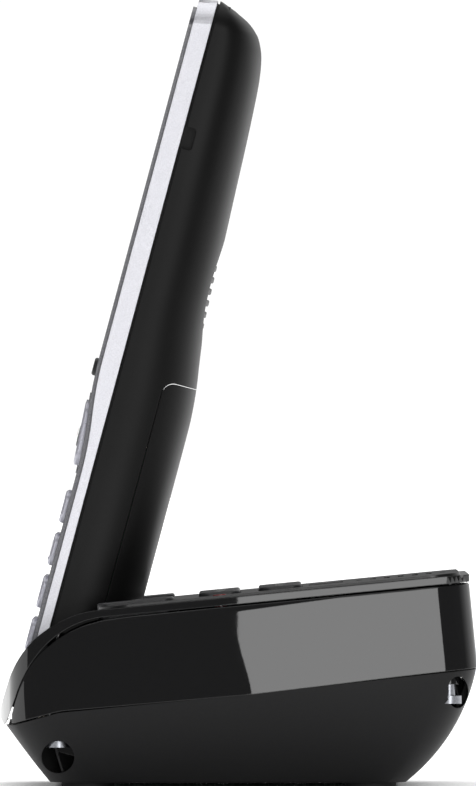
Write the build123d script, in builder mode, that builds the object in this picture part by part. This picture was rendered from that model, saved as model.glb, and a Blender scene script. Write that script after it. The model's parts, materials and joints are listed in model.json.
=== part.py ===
from build123d import *
from math import cos, radians, sin, tan
import os

# ---------------------------------------------------------------------------
# Driving dimensions, millimetres and degrees.
# Frame: +Z up, the keypad side faces -Y, the width runs along X, z = 0 is the
# underside of the rubber feet and x = y = 0 is the middle of the footprint.
# ---------------------------------------------------------------------------

# Handset frame: "along" runs up the handset, "deep" runs from its face to its back.
LEAN = 15.03
SEAM_TOP_Y = -6.8
SEAM_TOP_Z = 170.0
HANDSET_WIDTH = 48.0
HANDSET_BOTTOM = -156.0

FRAME_DEEP_UPPER = -4.15
FRAME_DEEP_LOWER = -2.12
FACIA_DEEP_UPPER = -5.06
FACIA_DEEP_LOWER = -3.19
CURVE_TOP = -76.0
CURVE_BOTTOM = -103.0
FRAME_TOP_FRONT = 8.3
FRAME_TOP_SEAM = 9.1
FRAME_WALL = 1.2
HANDSET_CORNER = 6.5
FACIA_WIDTH = 44.6
FACIA_TOP = 6.4
FACIA_BOTTOM = -153.0
FACIA_CORNER = 5.0
SKIN_GAP = 0.03

SHELL_SEAM = 0.6
SHELL_WIDTH = 47.8
SHELL_WALL = 1.6
SHELL_CORNER = 6.5
SHELL_TOP = 9.15
SHELL_SLOPE_START = -7.6
SHELL_STEP_TOP = -61.0
SHELL_STEP_BOTTOM = -89.0
SHELL_DEEP_TOP = 14.0
SHELL_DEEP_UPPER = 16.13
SHELL_DEEP_LOWER = 18.88
# Rounded top of the shell from its side: each point is (depth, along)
DOME_POINTS = [(4.6, 7.9), (8.3, 6.0), (11.2, 3.2), (13.25, -2.1)]
DOME_INNER_POINTS = [(6.9, 5.0), (9.9, 2.3)]
DOME_START_TANGENT = (1, -0.1)
NOTCH_TOP = -20.6
NOTCH_BOTTOM = -25.6
NOTCH_DEEP = 2.96
NOTCH_INWARD = 1.2
NOTCH_CORNER = 0.5

DOOR_TOP = -77.8
DOOR_SEAM = 10.85
DOOR_GAP = 0.1
DOOR_WALL = 1.5
COMPARTMENT_WIDTH = 25.0
COMPARTMENT_DEEP = 6.2
CELL_RADIUS = 5.2
CELL_LENGTH = 43.7
CELL_PITCH = 11.2
CELL_DEEP = 11.7
CELL_MIDDLE = -116.2

GRILLE_RADIUS = 12.75
GRILLE_MIDDLE = -55.3

GRILLE_FLANGE_DEEP = 12.9
GRILLE_FLANGE = 0.7
GRILLE_SLOT_PITCH = 2.9
GRILLE_SLOT_WIDTH = 1.3
REAR_SPEAKER_DEPTH = 5.0
REAR_SPEAKER_GAP = 0.5

# Inside the handset
FIT_GAP = 0.1
LIP_INSET = 0.5
CAVITY_SIDE = 20.6
SIDE_CAVITY_MIDDLE = 17.3
SIDE_CAVITY_WIDTH = 6.6
COMPARTMENT_FLOOR = 4.8
COMPARTMENT_LENGTH = 50.2
DOOR_THIN_DEEP = 16.1
DOOR_THIN_BOTTOM = -86.5
SHELL_DEPTH_REACH = 60.0
NOTCH_MIDDLE = (NOTCH_TOP + NOTCH_BOTTOM) / 2
NOTCH_LENGTH = NOTCH_TOP - NOTCH_BOTTOM
DISPLAY_MODULE_THICKNESS = 2.1
DISPLAY_LEDGE = 3.0
DISPLAY_CORNER = 2.0
EARPIECE_RADIUS = 6.5
EARPIECE_SLOTS = 3
EARPIECE_SLOT_PITCH = 2.6
EARPIECE_SLOT_LENGTH = 11.0
EARPIECE_SLOT_WIDTH = 1.2
MICROPHONE_MIDDLE = -150.5
MICROPHONE_RADIUS = 2.0
MICROPHONE_HOLE = 0.6
MAT_DEEP = 0.3
MAT_THICKNESS = 0.5
MAT_TOP = -75.0
BOARD_SIDE = 20.2
BOARD_TOP = 3.0
BOARD_BOTTOM = -147.0
BOARD_THICKNESS = 0.8
CELL_NUB_RADIUS = 1.9
CELL_NUB_LENGTH = 0.8
CELL_CONTACT_SIZE = 8.0
CELL_CONTACT_THICKNESS = 0.4
CHARGE_SIDE = 9.0
CHARGE_DEEP = 5.2
CHARGE_WIDTH = 4.2
CHARGE_LENGTH = 4.4
CHARGE_THICKNESS = 0.5
HANDSET_BOSS_RADIUS = 2.4
HANDSET_SCREW_RADIUS = 1.1
HANDSET_SCREW_HEAD = 2.3
HANDSET_SCREW_TIP = -0.3
CROSS_LENGTH = 2.6
CROSS_WIDTH = 0.7
CROSS_DEPTH = 0.9
handset_screw_places = ((-17.6, -150.5), (17.6, -150.5))

# Handset keys
EDGE_MARGIN = 0.5
SELECT_GAP = 0.5
KEY_FLANGE = 1.2
KEY_FLANGE_THICKNESS = 0.5
NUMBER_NAMES = ("1", "2", "3", "4", "5", "6", "7", "8", "9", "star", "0", "hash")
NUMBER_COLUMNS = 3
NUMBER_ROWS = 4
NUMBER_KEY_CORNER = 2.4
NUMBER_KEY_EDGE = 0.5
NUMBER_FLANGE_DEEP = -0.85
NIB_LENGTH = 2.4
NIB_WIDTH = 0.8
NIB_HEIGHT = 0.35
NIB_DROP = 2.5
SOFT_KEY_CORNER = 1.6
SOFT_FLANGE_DEEP = -2.7
NAV_GAP = 0.3
NAV_BACK = -0.75
NAV_PIVOT_DEEP = -0.35
NAV_PIVOT_THICKNESS = 0.3
NAV_PIVOT_RADIUS = 7.0
SELECT_FACE = -5.2
CALL_KEY_CORNER = 3.0
SLOPED_KEY_TOP_FACE = -5.85
SLOPED_KEY_BOTTOM_FACE = -4.05
KEY_HOLE_GAP = 0.25
NUMBER_KEY_WIDTH = 11.6
NUMBER_KEY_HEIGHT = 7.5
NUMBER_COLUMN_PITCH = 14.2
NUMBER_ROW_PITCH = 10.0
NUMBER_TOP_ROW = -111.12
NUMBER_KEY_FACE = -4.34
SOFT_KEY_WIDTH = 12.0
SOFT_KEY_HEIGHT = 4.1
SOFT_KEY_MIDDLE = -78.55
SOFT_KEY_SIDE = 13.2
SOFT_KEY_FACE = -5.87
NAV_MIDDLE = -93.9
NAV_RADIUS = 7.6
NAV_INNER_RADIUS = 3.9
NAV_RIM_RADIUS = 9.35
NAV_RIM_HEIGHT = 0.4
SELECT_RADIUS = 3.4
CALL_KEY_WIDTH = 8.6
CALL_KEY_HEIGHT = 14.7
CALL_KEY_SIDE = 15.7
DISPLAY_WIDTH = 36.0
DISPLAY_HEIGHT = 40.0
DISPLAY_MIDDLE = -50.0
EARPIECE_MIDDLE = -8.0

# Base
BASE_WIDTH = 96.0
BASE_FLOOR = 1.1
DECK_SLOPE = 5.52
DECK_AT_MIDDLE = 44.05
PANEL_THICKNESS = 0.6
COVER_REAR = 52.4
HOUSING_REAR_TOP = 52.5
HOUSING_REAR_BOTTOM = 54.35
HULL_INSET = 0.3
BASE_WALL = 2.0
FRONT_CORNER = 13.0
REAR_CORNER = 9.0
GROOVE = 0.45
HULL_RADIUS = 44.0
FOOT_RADIUS = 6.0
FOOT_EDGE = 0.3
FOOT_SIDE = 24.0
FOOT_FRONT = -34.0
FOOT_REAR = 30.05
WELL_RADIUS = 3.75
WELL_WALL = 1.3
FRONT_WELL = (36.0, -40.7)
REAR_WELL = (41.8, 47.9)
FRONT_WELL_TOP = 11.0
REAR_WELL_TOP = 21.0
SCREW_RADIUS = 1.4
SCREW_HEAD_RADIUS = 2.8

# Cradle pocket round the handset
POCKET_GAP = 0.4
POCKET_WALL = 1.8
POCKET_FLOOR = HANDSET_BOTTOM - 0.3
POCKET_TRENCH = HANDSET_BOTTOM - 7.5
LIP_HEIGHT = 28.5
LIP_CUT_DEPTH = 11.0

# Base keys
DECK_KEY_PROUD = 0.8
DECK_KEY_WIDTH = 16.5
DECK_KEY_PITCH = 20.5
ROW_B_MIDDLE = -4.1
ROW_B_LENGTH = 9.4
ROW_C_MIDDLE = 9.8
ROW_C_LENGTH = 9.8
VOLUME_KEY_SIDE = 35.0
VOLUME_KEY_WIDTH = 11.0
VOLUME_KEY_MIDDLE = -23.2
VOLUME_KEY_LENGTH = 17.4
SPEAKER_MIDDLE = 37.5
MESSAGE_MIDDLE = 20.3
MESSAGE_WIDTH = 26.0
MESSAGE_HEIGHT = 8.0
MESSAGE_DEPTH = 3.2
MESSAGE_CORNER = 1.0
DECK_KEY_CORNER = 2.5
DECK_KEY_FLANGE_AT = -3.4
KEY_BOARD_AT = -5.2
KEY_BOARD_GAP = 0.5
KEY_BOARD_SIDE = 42.0
KEY_BOARD_FRONT = -33.0
KEY_BOARD_REAR = 16.0
PANEL_SIDE = 44.6
PANEL_FRONT = -32.0
PANEL_REAR = 50.6
PANEL_CORNER = 7.0
POCKET_MOUTH_REAR = -17.2
COVER_THICKNESS = 1.65
LAMP_RADIUS = 1.5
LAMP_PLACE = (36.5, -4.1)
LAMP_PROUD = 0.2
BASE_SPEAKER_RADIUS = 12.3
BASE_SPEAKER_DEPTH = 6.5
BASE_MAGNET_RADIUS = 7.4
SPEAKER_SLOT_PITCH = 3.2
SPEAKER_SLOT_WIDTH = 1.4
BOSS_RADIUS = 2.4
JACK_SIDE = 22.0
JACK_HEIGHT = 36.0
JACK_FACE = 52.7
POWER_JACK_SIZE = 10.0
POWER_JACK_DEPTH = 12.0
POWER_JACK_BORE = 3.1
POWER_JACK_REACH = 9.5
POWER_JACK_PIN = 0.95
LINE_WIDTH = 14.0
LINE_HEIGHT = 12.0
LINE_DEPTH = 14.0
LINE_MOUTH_WIDTH = 9.8
LINE_MOUTH_HEIGHT = 7.2
LINE_MOUTH_DEPTH = 11.5
ANTENNA_SIZE = (1.0, 34.0, 6.0)
ANTENNA_MIDDLE = (-42.0, 22.0, 31.0)
BALLAST_SIZE = (56.0, 44.0, 4.5)
BALLAST_Y = 10.0
SPRING_WIDTH = 3.0
SPRING_LENGTH = 5.0
SPRING_HEIGHT = 5.0
SPRING_GAP = 0.2
SLOT_GAP = 0.5
SCREW_TIP_ABOVE = 9.0
HOOD_BOSS_DROP = 3.0
SCREW_HEAD_HEIGHT = 1.8

# Outline of the base from its side: each point is (y, z)
RIM_FRONT = -31.0
HOOD_SHOULDER = (-44.1, 35.3)
HOOD_CHEST = (-51.9, 24.3)
HOOD_NOSE = (-54.4, 16.4)
HOOD_END = (-53.0, 14.1)
BAND_END = (-52.5, 14.6)
BAND_FRONT = -30.0
BAND_SHOULDER = (-44.1, 31.7)
BAND_CHEST = (-50.4, 20.3)
HOUSING_FRONT = -30.0
HOUSING_SHOULDER = (-43.85, 31.3)
HOUSING_CHEST = (-50.05, 20.3)
HOUSING_END = (-51.2, 16.0)
CREASE_REAR = 27.4
CREASE_FRONT = (-40.4, 17.5)
CREASE_END = (-50.5, 14.7)
HULL_FRONT_TOP = (-52.6, 13.7)
HULL_FRONT_BOTTOM = (-42.6, 1.1)
HULL_CENTRE = (11.2, 35.9)
HULL_START = -11.4
HULL_SWEEP = -40.5
HULL_SIDE_CENTRE = 4.75
HULL_SIDE_SWEEP = -46.0
SIDE_CURVE_START = -3.0
SIDE_CURVE_MIDDLE = (46.8, -26.5)
SIDE_CURVE_END = (43.0, -50.0)
NOSE_Y = -54.6

# ---------------------------------------------------------------------------
# Working planes
# ---------------------------------------------------------------------------
UP = Vector(0, sin(radians(LEAN)), cos(radians(LEAN)))
BACK = Vector(0, cos(radians(LEAN)), -sin(radians(LEAN)))
SEAM_TOP = (0, SEAM_TOP_Y, SEAM_TOP_Z)
HANDSET_SIDE = Plane(origin=SEAM_TOP, x_dir=BACK, z_dir=(1, 0, 0))
HANDSET_FRONT = Plane(origin=SEAM_TOP, x_dir=(1, 0, 0), z_dir=-BACK)
HANDSET_REAR = Plane(origin=SEAM_TOP, x_dir=(-1, 0, 0), z_dir=BACK)
HANDSET_END = Plane(origin=SEAM_TOP, x_dir=(1, 0, 0), z_dir=UP)
DECK_UP = (0, -sin(radians(DECK_SLOPE)), cos(radians(DECK_SLOPE)))
DECK = Plane(origin=(0, 0, DECK_AT_MIDDLE), x_dir=(1, 0, 0), z_dir=DECK_UP)

DECK_RISE = tan(radians(DECK_SLOPE))
well_places = [(side * FRONT_WELL[0], FRONT_WELL[1], FRONT_WELL_TOP) for side in (-1, 1)]
well_places += [(side * REAR_WELL[0], REAR_WELL[1], REAR_WELL_TOP) for side in (-1, 1)]
foot_places = [(side * FOOT_SIDE, y) for side in (-1, 1) for y in (FOOT_FRONT, FOOT_REAR)]
pieces = {}


def face_plane(deep):
    """Plane square to the handset's face at a depth, looking out of the face."""
    return HANDSET_FRONT.offset(-deep)


def along_of(shape):
    """How far up the handset the middle of a shape lies."""
    return HANDSET_SIDE.to_local_coords(shape.center()).Y


def deep_of(shape):
    """How deep in the handset the middle of a shape lies."""
    return HANDSET_SIDE.to_local_coords(shape.center()).X


def corner_edges(builder, half_width):
    """The four edges through the handset, one at each corner of its outline."""
    edges = builder.edges().filter_by(lambda e: abs(e.center().X) > half_width - SKIN_GAP)
    edges = edges.filter_by(lambda e: abs((e @ 1 - e @ 0).dot(BACK)) > abs((e @ 1 - e @ 0).dot(UP)))
    return edges


def handset_face_line(lower, upper, bottom, top):
    """Front line of the handset: straight, a gentle double bend, straight again."""
    middle = ((lower + upper) / 2, (CURVE_TOP + CURVE_BOTTOM) / 2)
    if bottom < CURVE_BOTTOM:
        Line((lower, bottom), (lower, CURVE_BOTTOM))
    first = TangentArc((lower, CURVE_BOTTOM), middle, tangent=(0, 1))
    TangentArc(middle, (upper, CURVE_TOP), tangent=first % 1)
    Line((upper, CURVE_TOP), (upper, top))


def facia_outline(lower, upper, bottom, top):
    """Side outline of a plate lying on the handset's face, following its double bend."""
    with BuildSketch(HANDSET_SIDE) as outline:
        with BuildLine():
            handset_face_line(lower, upper, bottom, top)
            Line((upper, top), (FRAME_DEEP_UPPER - SKIN_GAP, top))
            handset_face_line(FRAME_DEEP_LOWER - SKIN_GAP, FRAME_DEEP_UPPER - SKIN_GAP, bottom, top)
            Line((lower, bottom), (FRAME_DEEP_LOWER - SKIN_GAP, bottom))
        make_face()
    return outline.sketch


def side_block(shallow, deep, bottom, top):
    """Side outline of a plain block in the handset between two depths and two heights."""
    with BuildSketch(HANDSET_SIDE) as outline:
        with Locations(((shallow + deep) / 2, (bottom + top) / 2)):
            Rectangle(deep - shallow, top - bottom)
    return outline.sketch


def key_openings(gap):
    """Openings for every handset key, drawn on a plane square to the face."""
    rows_middle = NUMBER_TOP_ROW - (NUMBER_ROWS - 1) * NUMBER_ROW_PITCH / 2
    with Locations((0, rows_middle)):
        with GridLocations(NUMBER_COLUMN_PITCH, NUMBER_ROW_PITCH, NUMBER_COLUMNS, NUMBER_ROWS):
            RectangleRounded(NUMBER_KEY_WIDTH + 2 * gap, NUMBER_KEY_HEIGHT + 2 * gap, NUMBER_KEY_CORNER)
    for side in (-1, 1):
        with Locations((side * SOFT_KEY_SIDE, SOFT_KEY_MIDDLE)):
            RectangleRounded(SOFT_KEY_WIDTH + 2 * gap, SOFT_KEY_HEIGHT + 2 * gap, SOFT_KEY_CORNER)
        with Locations((side * CALL_KEY_SIDE, NAV_MIDDLE)):
            RectangleRounded(CALL_KEY_WIDTH + 2 * gap, CALL_KEY_HEIGHT + 2 * gap, CALL_KEY_CORNER)
    with Locations((0, NAV_MIDDLE)):
        Circle(NAV_RADIUS + NAV_GAP)


def sound_slots():
    """Earpiece slots and the microphone hole in the handset's face."""
    with Locations((0, EARPIECE_MIDDLE)):
        with GridLocations(EARPIECE_SLOT_PITCH, EARPIECE_SLOT_PITCH, 1, EARPIECE_SLOTS):
            SlotOverall(EARPIECE_SLOT_LENGTH, EARPIECE_SLOT_WIDTH)
    with Locations((0, MICROPHONE_MIDDLE)):
        Circle(MICROPHONE_HOLE)


def round_slots(middle, radius, pitch, width):
    """Parallel slots that fill a circle, as over a loudspeaker."""
    count = int(radius / pitch)
    for number in range(-count, count + 1):
        offset_up = number * pitch
        length = 2 * (radius**2 - offset_up**2) ** 0.5
        with Locations((0, middle + offset_up)):
            SlotOverall(max(length, 2 * width), width)


def sloped_key_outline():
    """Side outline of the keys beside and around the select key, sloping with the face."""
    Polygon(
        (SLOPED_KEY_TOP_FACE, NAV_MIDDLE + CALL_KEY_HEIGHT),
        (NAV_BACK, NAV_MIDDLE + CALL_KEY_HEIGHT),
        (NAV_BACK, NAV_MIDDLE - CALL_KEY_HEIGHT),
        (SLOPED_KEY_BOTTOM_FACE, NAV_MIDDLE - CALL_KEY_HEIGHT),
        align=None,
    )


def deck_height(y, below=0.0):
    """Height of the deck panel's top at a place from front to rear, less a depth square to it."""
    return DECK_AT_MIDDLE + y * DECK_RISE - below / cos(radians(DECK_SLOPE))


def plan_outline(inset=0.0):
    """Outline of the base from above: parallel sides that draw in towards a gently bowed front."""
    with BuildSketch(Plane.XY) as outline:
        with BuildLine():
            side = BASE_WIDTH / 2
            curve_x, curve_y = SIDE_CURVE_MIDDLE
            end_x, end_y = SIDE_CURVE_END
            rear = HOUSING_REAR_BOTTOM
            ThreePointArc((-end_x, end_y), (0, NOSE_Y), (end_x, end_y))
            ThreePointArc((end_x, end_y), (curve_x, curve_y), (side, SIDE_CURVE_START))
            Polyline((side, SIDE_CURVE_START), (side, rear), (-side, rear), (-side, SIDE_CURVE_START))
            ThreePointArc((-side, SIDE_CURVE_START), (-curve_x, curve_y), (-end_x, end_y))
        make_face()
        corners = outline.vertices().filter_by(lambda v: abs(v.X) > end_x - SKIN_GAP)
        fillet(corners.filter_by(lambda v: v.Y < end_y + EDGE_MARGIN), FRONT_CORNER)
        fillet(outline.vertices().filter_by(lambda v: v.Y > rear - SKIN_GAP), REAR_CORNER)
        if inset:
            offset(amount=-inset)
    return outline.sketch


def hull_section(inset=0.0):
    """Outline of the tapering hull from its front: two leaning arcs down to a narrow floor."""
    with BuildSketch(Plane.XZ) as outline:
        with BuildLine():
            radius = HULL_RADIUS - inset
            side = CenterArc((HULL_SIDE_CENTRE, HULL_CENTRE[1]), radius, HULL_START, HULL_SIDE_SWEEP)
            Polyline(side @ 1, (0, (side @ 1).Y), (0, (side @ 0).Y), side @ 0)
        make_face()
        mirror(about=Plane.YZ)
    return outline.sketch


def rounded_hood(front, below, shoulder, chest, last):
    """Edge of the hood from the deck line down its front, as tangent arcs. Returns where it starts."""
    deck_edge = (front, deck_height(front, below))
    first = TangentArc(deck_edge, shoulder, tangent=(-1, -DECK_RISE))
    second = TangentArc(shoulder, chest, tangent=first % 1)
    if last:
        TangentArc(chest, last, tangent=second % 1)
    return deck_edge


def boss_drop(y):
    """How far the cover's underside lies below the deck line where a screw boss meets it."""
    return HOOD_BOSS_DROP if y < BAND_FRONT else 0.0


def deck_key_places():
    """Place, width and length of every key on the deck, by name."""
    places = {}
    for row_names, middle, length in (
        (("skip_back_key", "play_key", "skip_forward_key"), ROW_B_MIDDLE, ROW_B_LENGTH),
        (("erase_key", "answer_key", "locate_key"), ROW_C_MIDDLE, ROW_C_LENGTH),
    ):
        for column, name in enumerate(row_names):
            places[name] = (((column - 1) * DECK_KEY_PITCH, middle), DECK_KEY_WIDTH, length)
    places["volume_down_key"] = ((-VOLUME_KEY_SIDE, VOLUME_KEY_MIDDLE), VOLUME_KEY_WIDTH, VOLUME_KEY_LENGTH)
    places["volume_up_key"] = ((VOLUME_KEY_SIDE, VOLUME_KEY_MIDDLE), VOLUME_KEY_WIDTH, VOLUME_KEY_LENGTH)
    return places


# ---------------------------------------------------------------------------
# Handset outer forms, from which its shells are cut
# ---------------------------------------------------------------------------
with BuildPart() as frame_form:
    with BuildSketch(HANDSET_SIDE):
        with BuildLine():
            handset_face_line(FRAME_DEEP_LOWER, FRAME_DEEP_UPPER, HANDSET_BOTTOM, FRAME_TOP_FRONT)
            Polyline(
                (FRAME_DEEP_UPPER, FRAME_TOP_FRONT),
                (0, FRAME_TOP_SEAM),
                (0, HANDSET_BOTTOM),
                (FRAME_DEEP_LOWER, HANDSET_BOTTOM),
            )
        make_face()
    extrude(amount=HANDSET_WIDTH / 2, both=True)
    fillet(corner_edges(frame_form, HANDSET_WIDTH / 2), HANDSET_CORNER)

with BuildPart() as frame_cavity:
    with BuildSketch(HANDSET_SIDE):
        with BuildLine():
            lower = FRAME_DEEP_LOWER + FRAME_WALL
            upper = FRAME_DEEP_UPPER + FRAME_WALL
            handset_face_line(lower, upper, HANDSET_BOTTOM + SHELL_WALL, FRAME_TOP_FRONT - SHELL_WALL)
            Polyline(
                (upper, FRAME_TOP_FRONT - SHELL_WALL),
                (SHELL_WALL, FRAME_TOP_FRONT - SHELL_WALL),
                (SHELL_WALL, HANDSET_BOTTOM + SHELL_WALL),
                (lower, HANDSET_BOTTOM + SHELL_WALL),
            )
        make_face()
    extrude(amount=HANDSET_WIDTH / 2 - SHELL_WALL, both=True)
    fillet(corner_edges(frame_cavity, HANDSET_WIDTH / 2 - SHELL_WALL), HANDSET_CORNER - SHELL_WALL)

with BuildPart() as shell_form:
    with BuildSketch(HANDSET_SIDE):
        with BuildLine():
            slope_direction = (SHELL_DEEP_UPPER - SHELL_DEEP_TOP, SHELL_STEP_TOP - SHELL_SLOPE_START)
            step_deep = (SHELL_DEEP_UPPER + SHELL_DEEP_LOWER) / 2
            step_middle = (step_deep, (SHELL_STEP_TOP + SHELL_STEP_BOTTOM) / 2)
            dome = Spline(
                (SHELL_SEAM, SHELL_TOP),
                *DOME_POINTS,
                (SHELL_DEEP_TOP, SHELL_SLOPE_START),
                tangents=[DOME_START_TANGENT, slope_direction],
            )
            slope = Line(dome @ 1, (SHELL_DEEP_UPPER, SHELL_STEP_TOP))
            step = TangentArc(slope @ 1, step_middle, tangent=slope % 1)
            step_end = TangentArc(step @ 1, (SHELL_DEEP_LOWER, SHELL_STEP_BOTTOM), tangent=step % 1)
            Polyline(
                step_end @ 1,
                (SHELL_DEEP_LOWER, HANDSET_BOTTOM),
                (SHELL_SEAM, HANDSET_BOTTOM),
                (SHELL_SEAM, SHELL_TOP),
            )
        make_face()
    extrude(amount=SHELL_WIDTH / 2, both=True)
    back_edges = shell_form.edges().filter_by(lambda e: abs(e.center().X) > SHELL_WIDTH / 2 - SKIN_GAP)
    back_edges = back_edges.filter_by(lambda e: deep_of(e) > SHELL_SEAM + EDGE_MARGIN)
    back_edges = back_edges.filter_by(lambda e: along_of(e) > HANDSET_BOTTOM + SHELL_WALL)
    fillet(back_edges, SHELL_CORNER)
    with BuildSketch(HANDSET_FRONT):
        with Locations((0, HANDSET_BOTTOM)):
            corner_height = FRAME_TOP_SEAM - HANDSET_BOTTOM + SHELL_CORNER
            RectangleRounded(SHELL_WIDTH, 2 * corner_height, SHELL_CORNER)
    extrude(amount=-2 * SHELL_DEEP_LOWER, mode=Mode.INTERSECT)

with BuildPart() as shell_cavity:
    with BuildSketch(HANDSET_SIDE):
        with BuildLine():
            inner_slope = (SHELL_DEEP_UPPER - SHELL_DEEP_TOP, SHELL_STEP_TOP - SHELL_SLOPE_START)
            inner_dome = Spline(
                (0, SHELL_TOP - SHELL_WALL),
                *DOME_INNER_POINTS,
                (SHELL_DEEP_TOP - SHELL_WALL, SHELL_SLOPE_START),
                tangents=[DOME_START_TANGENT, inner_slope],
            )
            Polyline(
                inner_dome @ 1,
                (SHELL_DEEP_UPPER - SHELL_WALL, SHELL_STEP_TOP),
                (SHELL_DEEP_UPPER - SHELL_WALL, DOOR_TOP + SHELL_WALL),
                (0, DOOR_TOP + SHELL_WALL),
                (0, SHELL_TOP - SHELL_WALL),
            )
        make_face()
    extrude(amount=CAVITY_SIDE, both=True)
    front_space = side_block(0, COMPARTMENT_FLOOR, HANDSET_BOTTOM + SHELL_WALL, DOOR_TOP + SHELL_WALL)
    extrude(front_space, amount=CAVITY_SIDE, both=True)
    for side in (-1, 1):
        with BuildSketch(face_plane(DOOR_SEAM - SHELL_WALL)):
            with Locations((side * SIDE_CAVITY_MIDDLE, CELL_MIDDLE)):
                Rectangle(SIDE_CAVITY_WIDTH, CELL_LENGTH)
        extrude(amount=DOOR_SEAM - SHELL_WALL)

# ---------------------------------------------------------------------------
# Handset pieces
# ---------------------------------------------------------------------------
with BuildPart() as front_frame:
    add(frame_form.part)
    add(frame_cavity.part, mode=Mode.SUBTRACT)
    with BuildSketch(face_plane(FACIA_DEEP_UPPER)):
        key_openings(KEY_HOLE_GAP)
        with Locations((0, DISPLAY_MIDDLE)):
            Rectangle(DISPLAY_WIDTH - DISPLAY_LEDGE, DISPLAY_HEIGHT - DISPLAY_LEDGE)
        sound_slots()
    extrude(amount=FACIA_DEEP_UPPER, mode=Mode.SUBTRACT)
    with BuildSketch(face_plane(FRAME_DEEP_LOWER + FRAME_WALL / 2)):
        with Locations(*handset_screw_places):
            Circle(HANDSET_BOSS_RADIUS)
    extrude(amount=FRAME_DEEP_LOWER + FRAME_WALL / 2 - COMPARTMENT_FLOOR + FIT_GAP)
    with BuildSketch(face_plane(COMPARTMENT_DEEP)):
        with Locations(*handset_screw_places):
            Circle(HANDSET_SCREW_RADIUS + FIT_GAP)
    extrude(amount=COMPARTMENT_DEEP - HANDSET_SCREW_TIP + FIT_GAP, mode=Mode.SUBTRACT)
pieces["front_frame"] = front_frame

with BuildPart() as facia_plate:
    plate = facia_outline(FACIA_DEEP_LOWER, FACIA_DEEP_UPPER, FACIA_BOTTOM, FACIA_TOP)
    extrude(plate, amount=FACIA_WIDTH / 2, both=True)
    fillet(corner_edges(facia_plate, FACIA_WIDTH / 2), FACIA_CORNER)
    with BuildSketch(face_plane(SOFT_KEY_FACE)):
        key_openings(KEY_HOLE_GAP)
        with Locations((0, DISPLAY_MIDDLE)):
            RectangleRounded(DISPLAY_WIDTH, DISPLAY_HEIGHT, DISPLAY_CORNER)
        sound_slots()
    extrude(amount=SOFT_KEY_FACE, mode=Mode.SUBTRACT)

with BuildPart() as nav_rim:
    lower = FACIA_DEEP_LOWER - NAV_RIM_HEIGHT
    upper = FACIA_DEEP_UPPER - NAV_RIM_HEIGHT
    rim_plate = facia_outline(lower, upper, CURVE_BOTTOM - NAV_RIM_RADIUS, CURVE_TOP + NAV_RIM_RADIUS)
    extrude(rim_plate, amount=FACIA_WIDTH / 2, both=True)
    with BuildSketch(face_plane(SOFT_KEY_FACE)):
        with Locations((0, NAV_MIDDLE)):
            Circle(NAV_RIM_RADIUS)
            Circle(NAV_RADIUS + NAV_GAP, mode=Mode.SUBTRACT)
    extrude(amount=SOFT_KEY_FACE, mode=Mode.INTERSECT)

with BuildPart() as facia:
    add(facia_plate.part)
    add(nav_rim.part)
pieces["facia"] = facia

with BuildPart() as display_window:
    with BuildSketch(face_plane(FACIA_DEEP_UPPER + SKIN_GAP)):
        with Locations((0, DISPLAY_MIDDLE)):
            RectangleRounded(DISPLAY_WIDTH - FIT_GAP, DISPLAY_HEIGHT - FIT_GAP, DISPLAY_CORNER)
    extrude(amount=FACIA_DEEP_UPPER - FRAME_DEEP_UPPER + SKIN_GAP * 2)
pieces["display_window"] = display_window

with BuildPart() as display_module:
    with BuildSketch(face_plane(FRAME_DEEP_UPPER + FRAME_WALL + FIT_GAP)):
        with Locations((0, DISPLAY_MIDDLE)):
            Rectangle(DISPLAY_WIDTH, DISPLAY_HEIGHT)
    extrude(amount=-DISPLAY_MODULE_THICKNESS)
pieces["display_module"] = display_module

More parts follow.
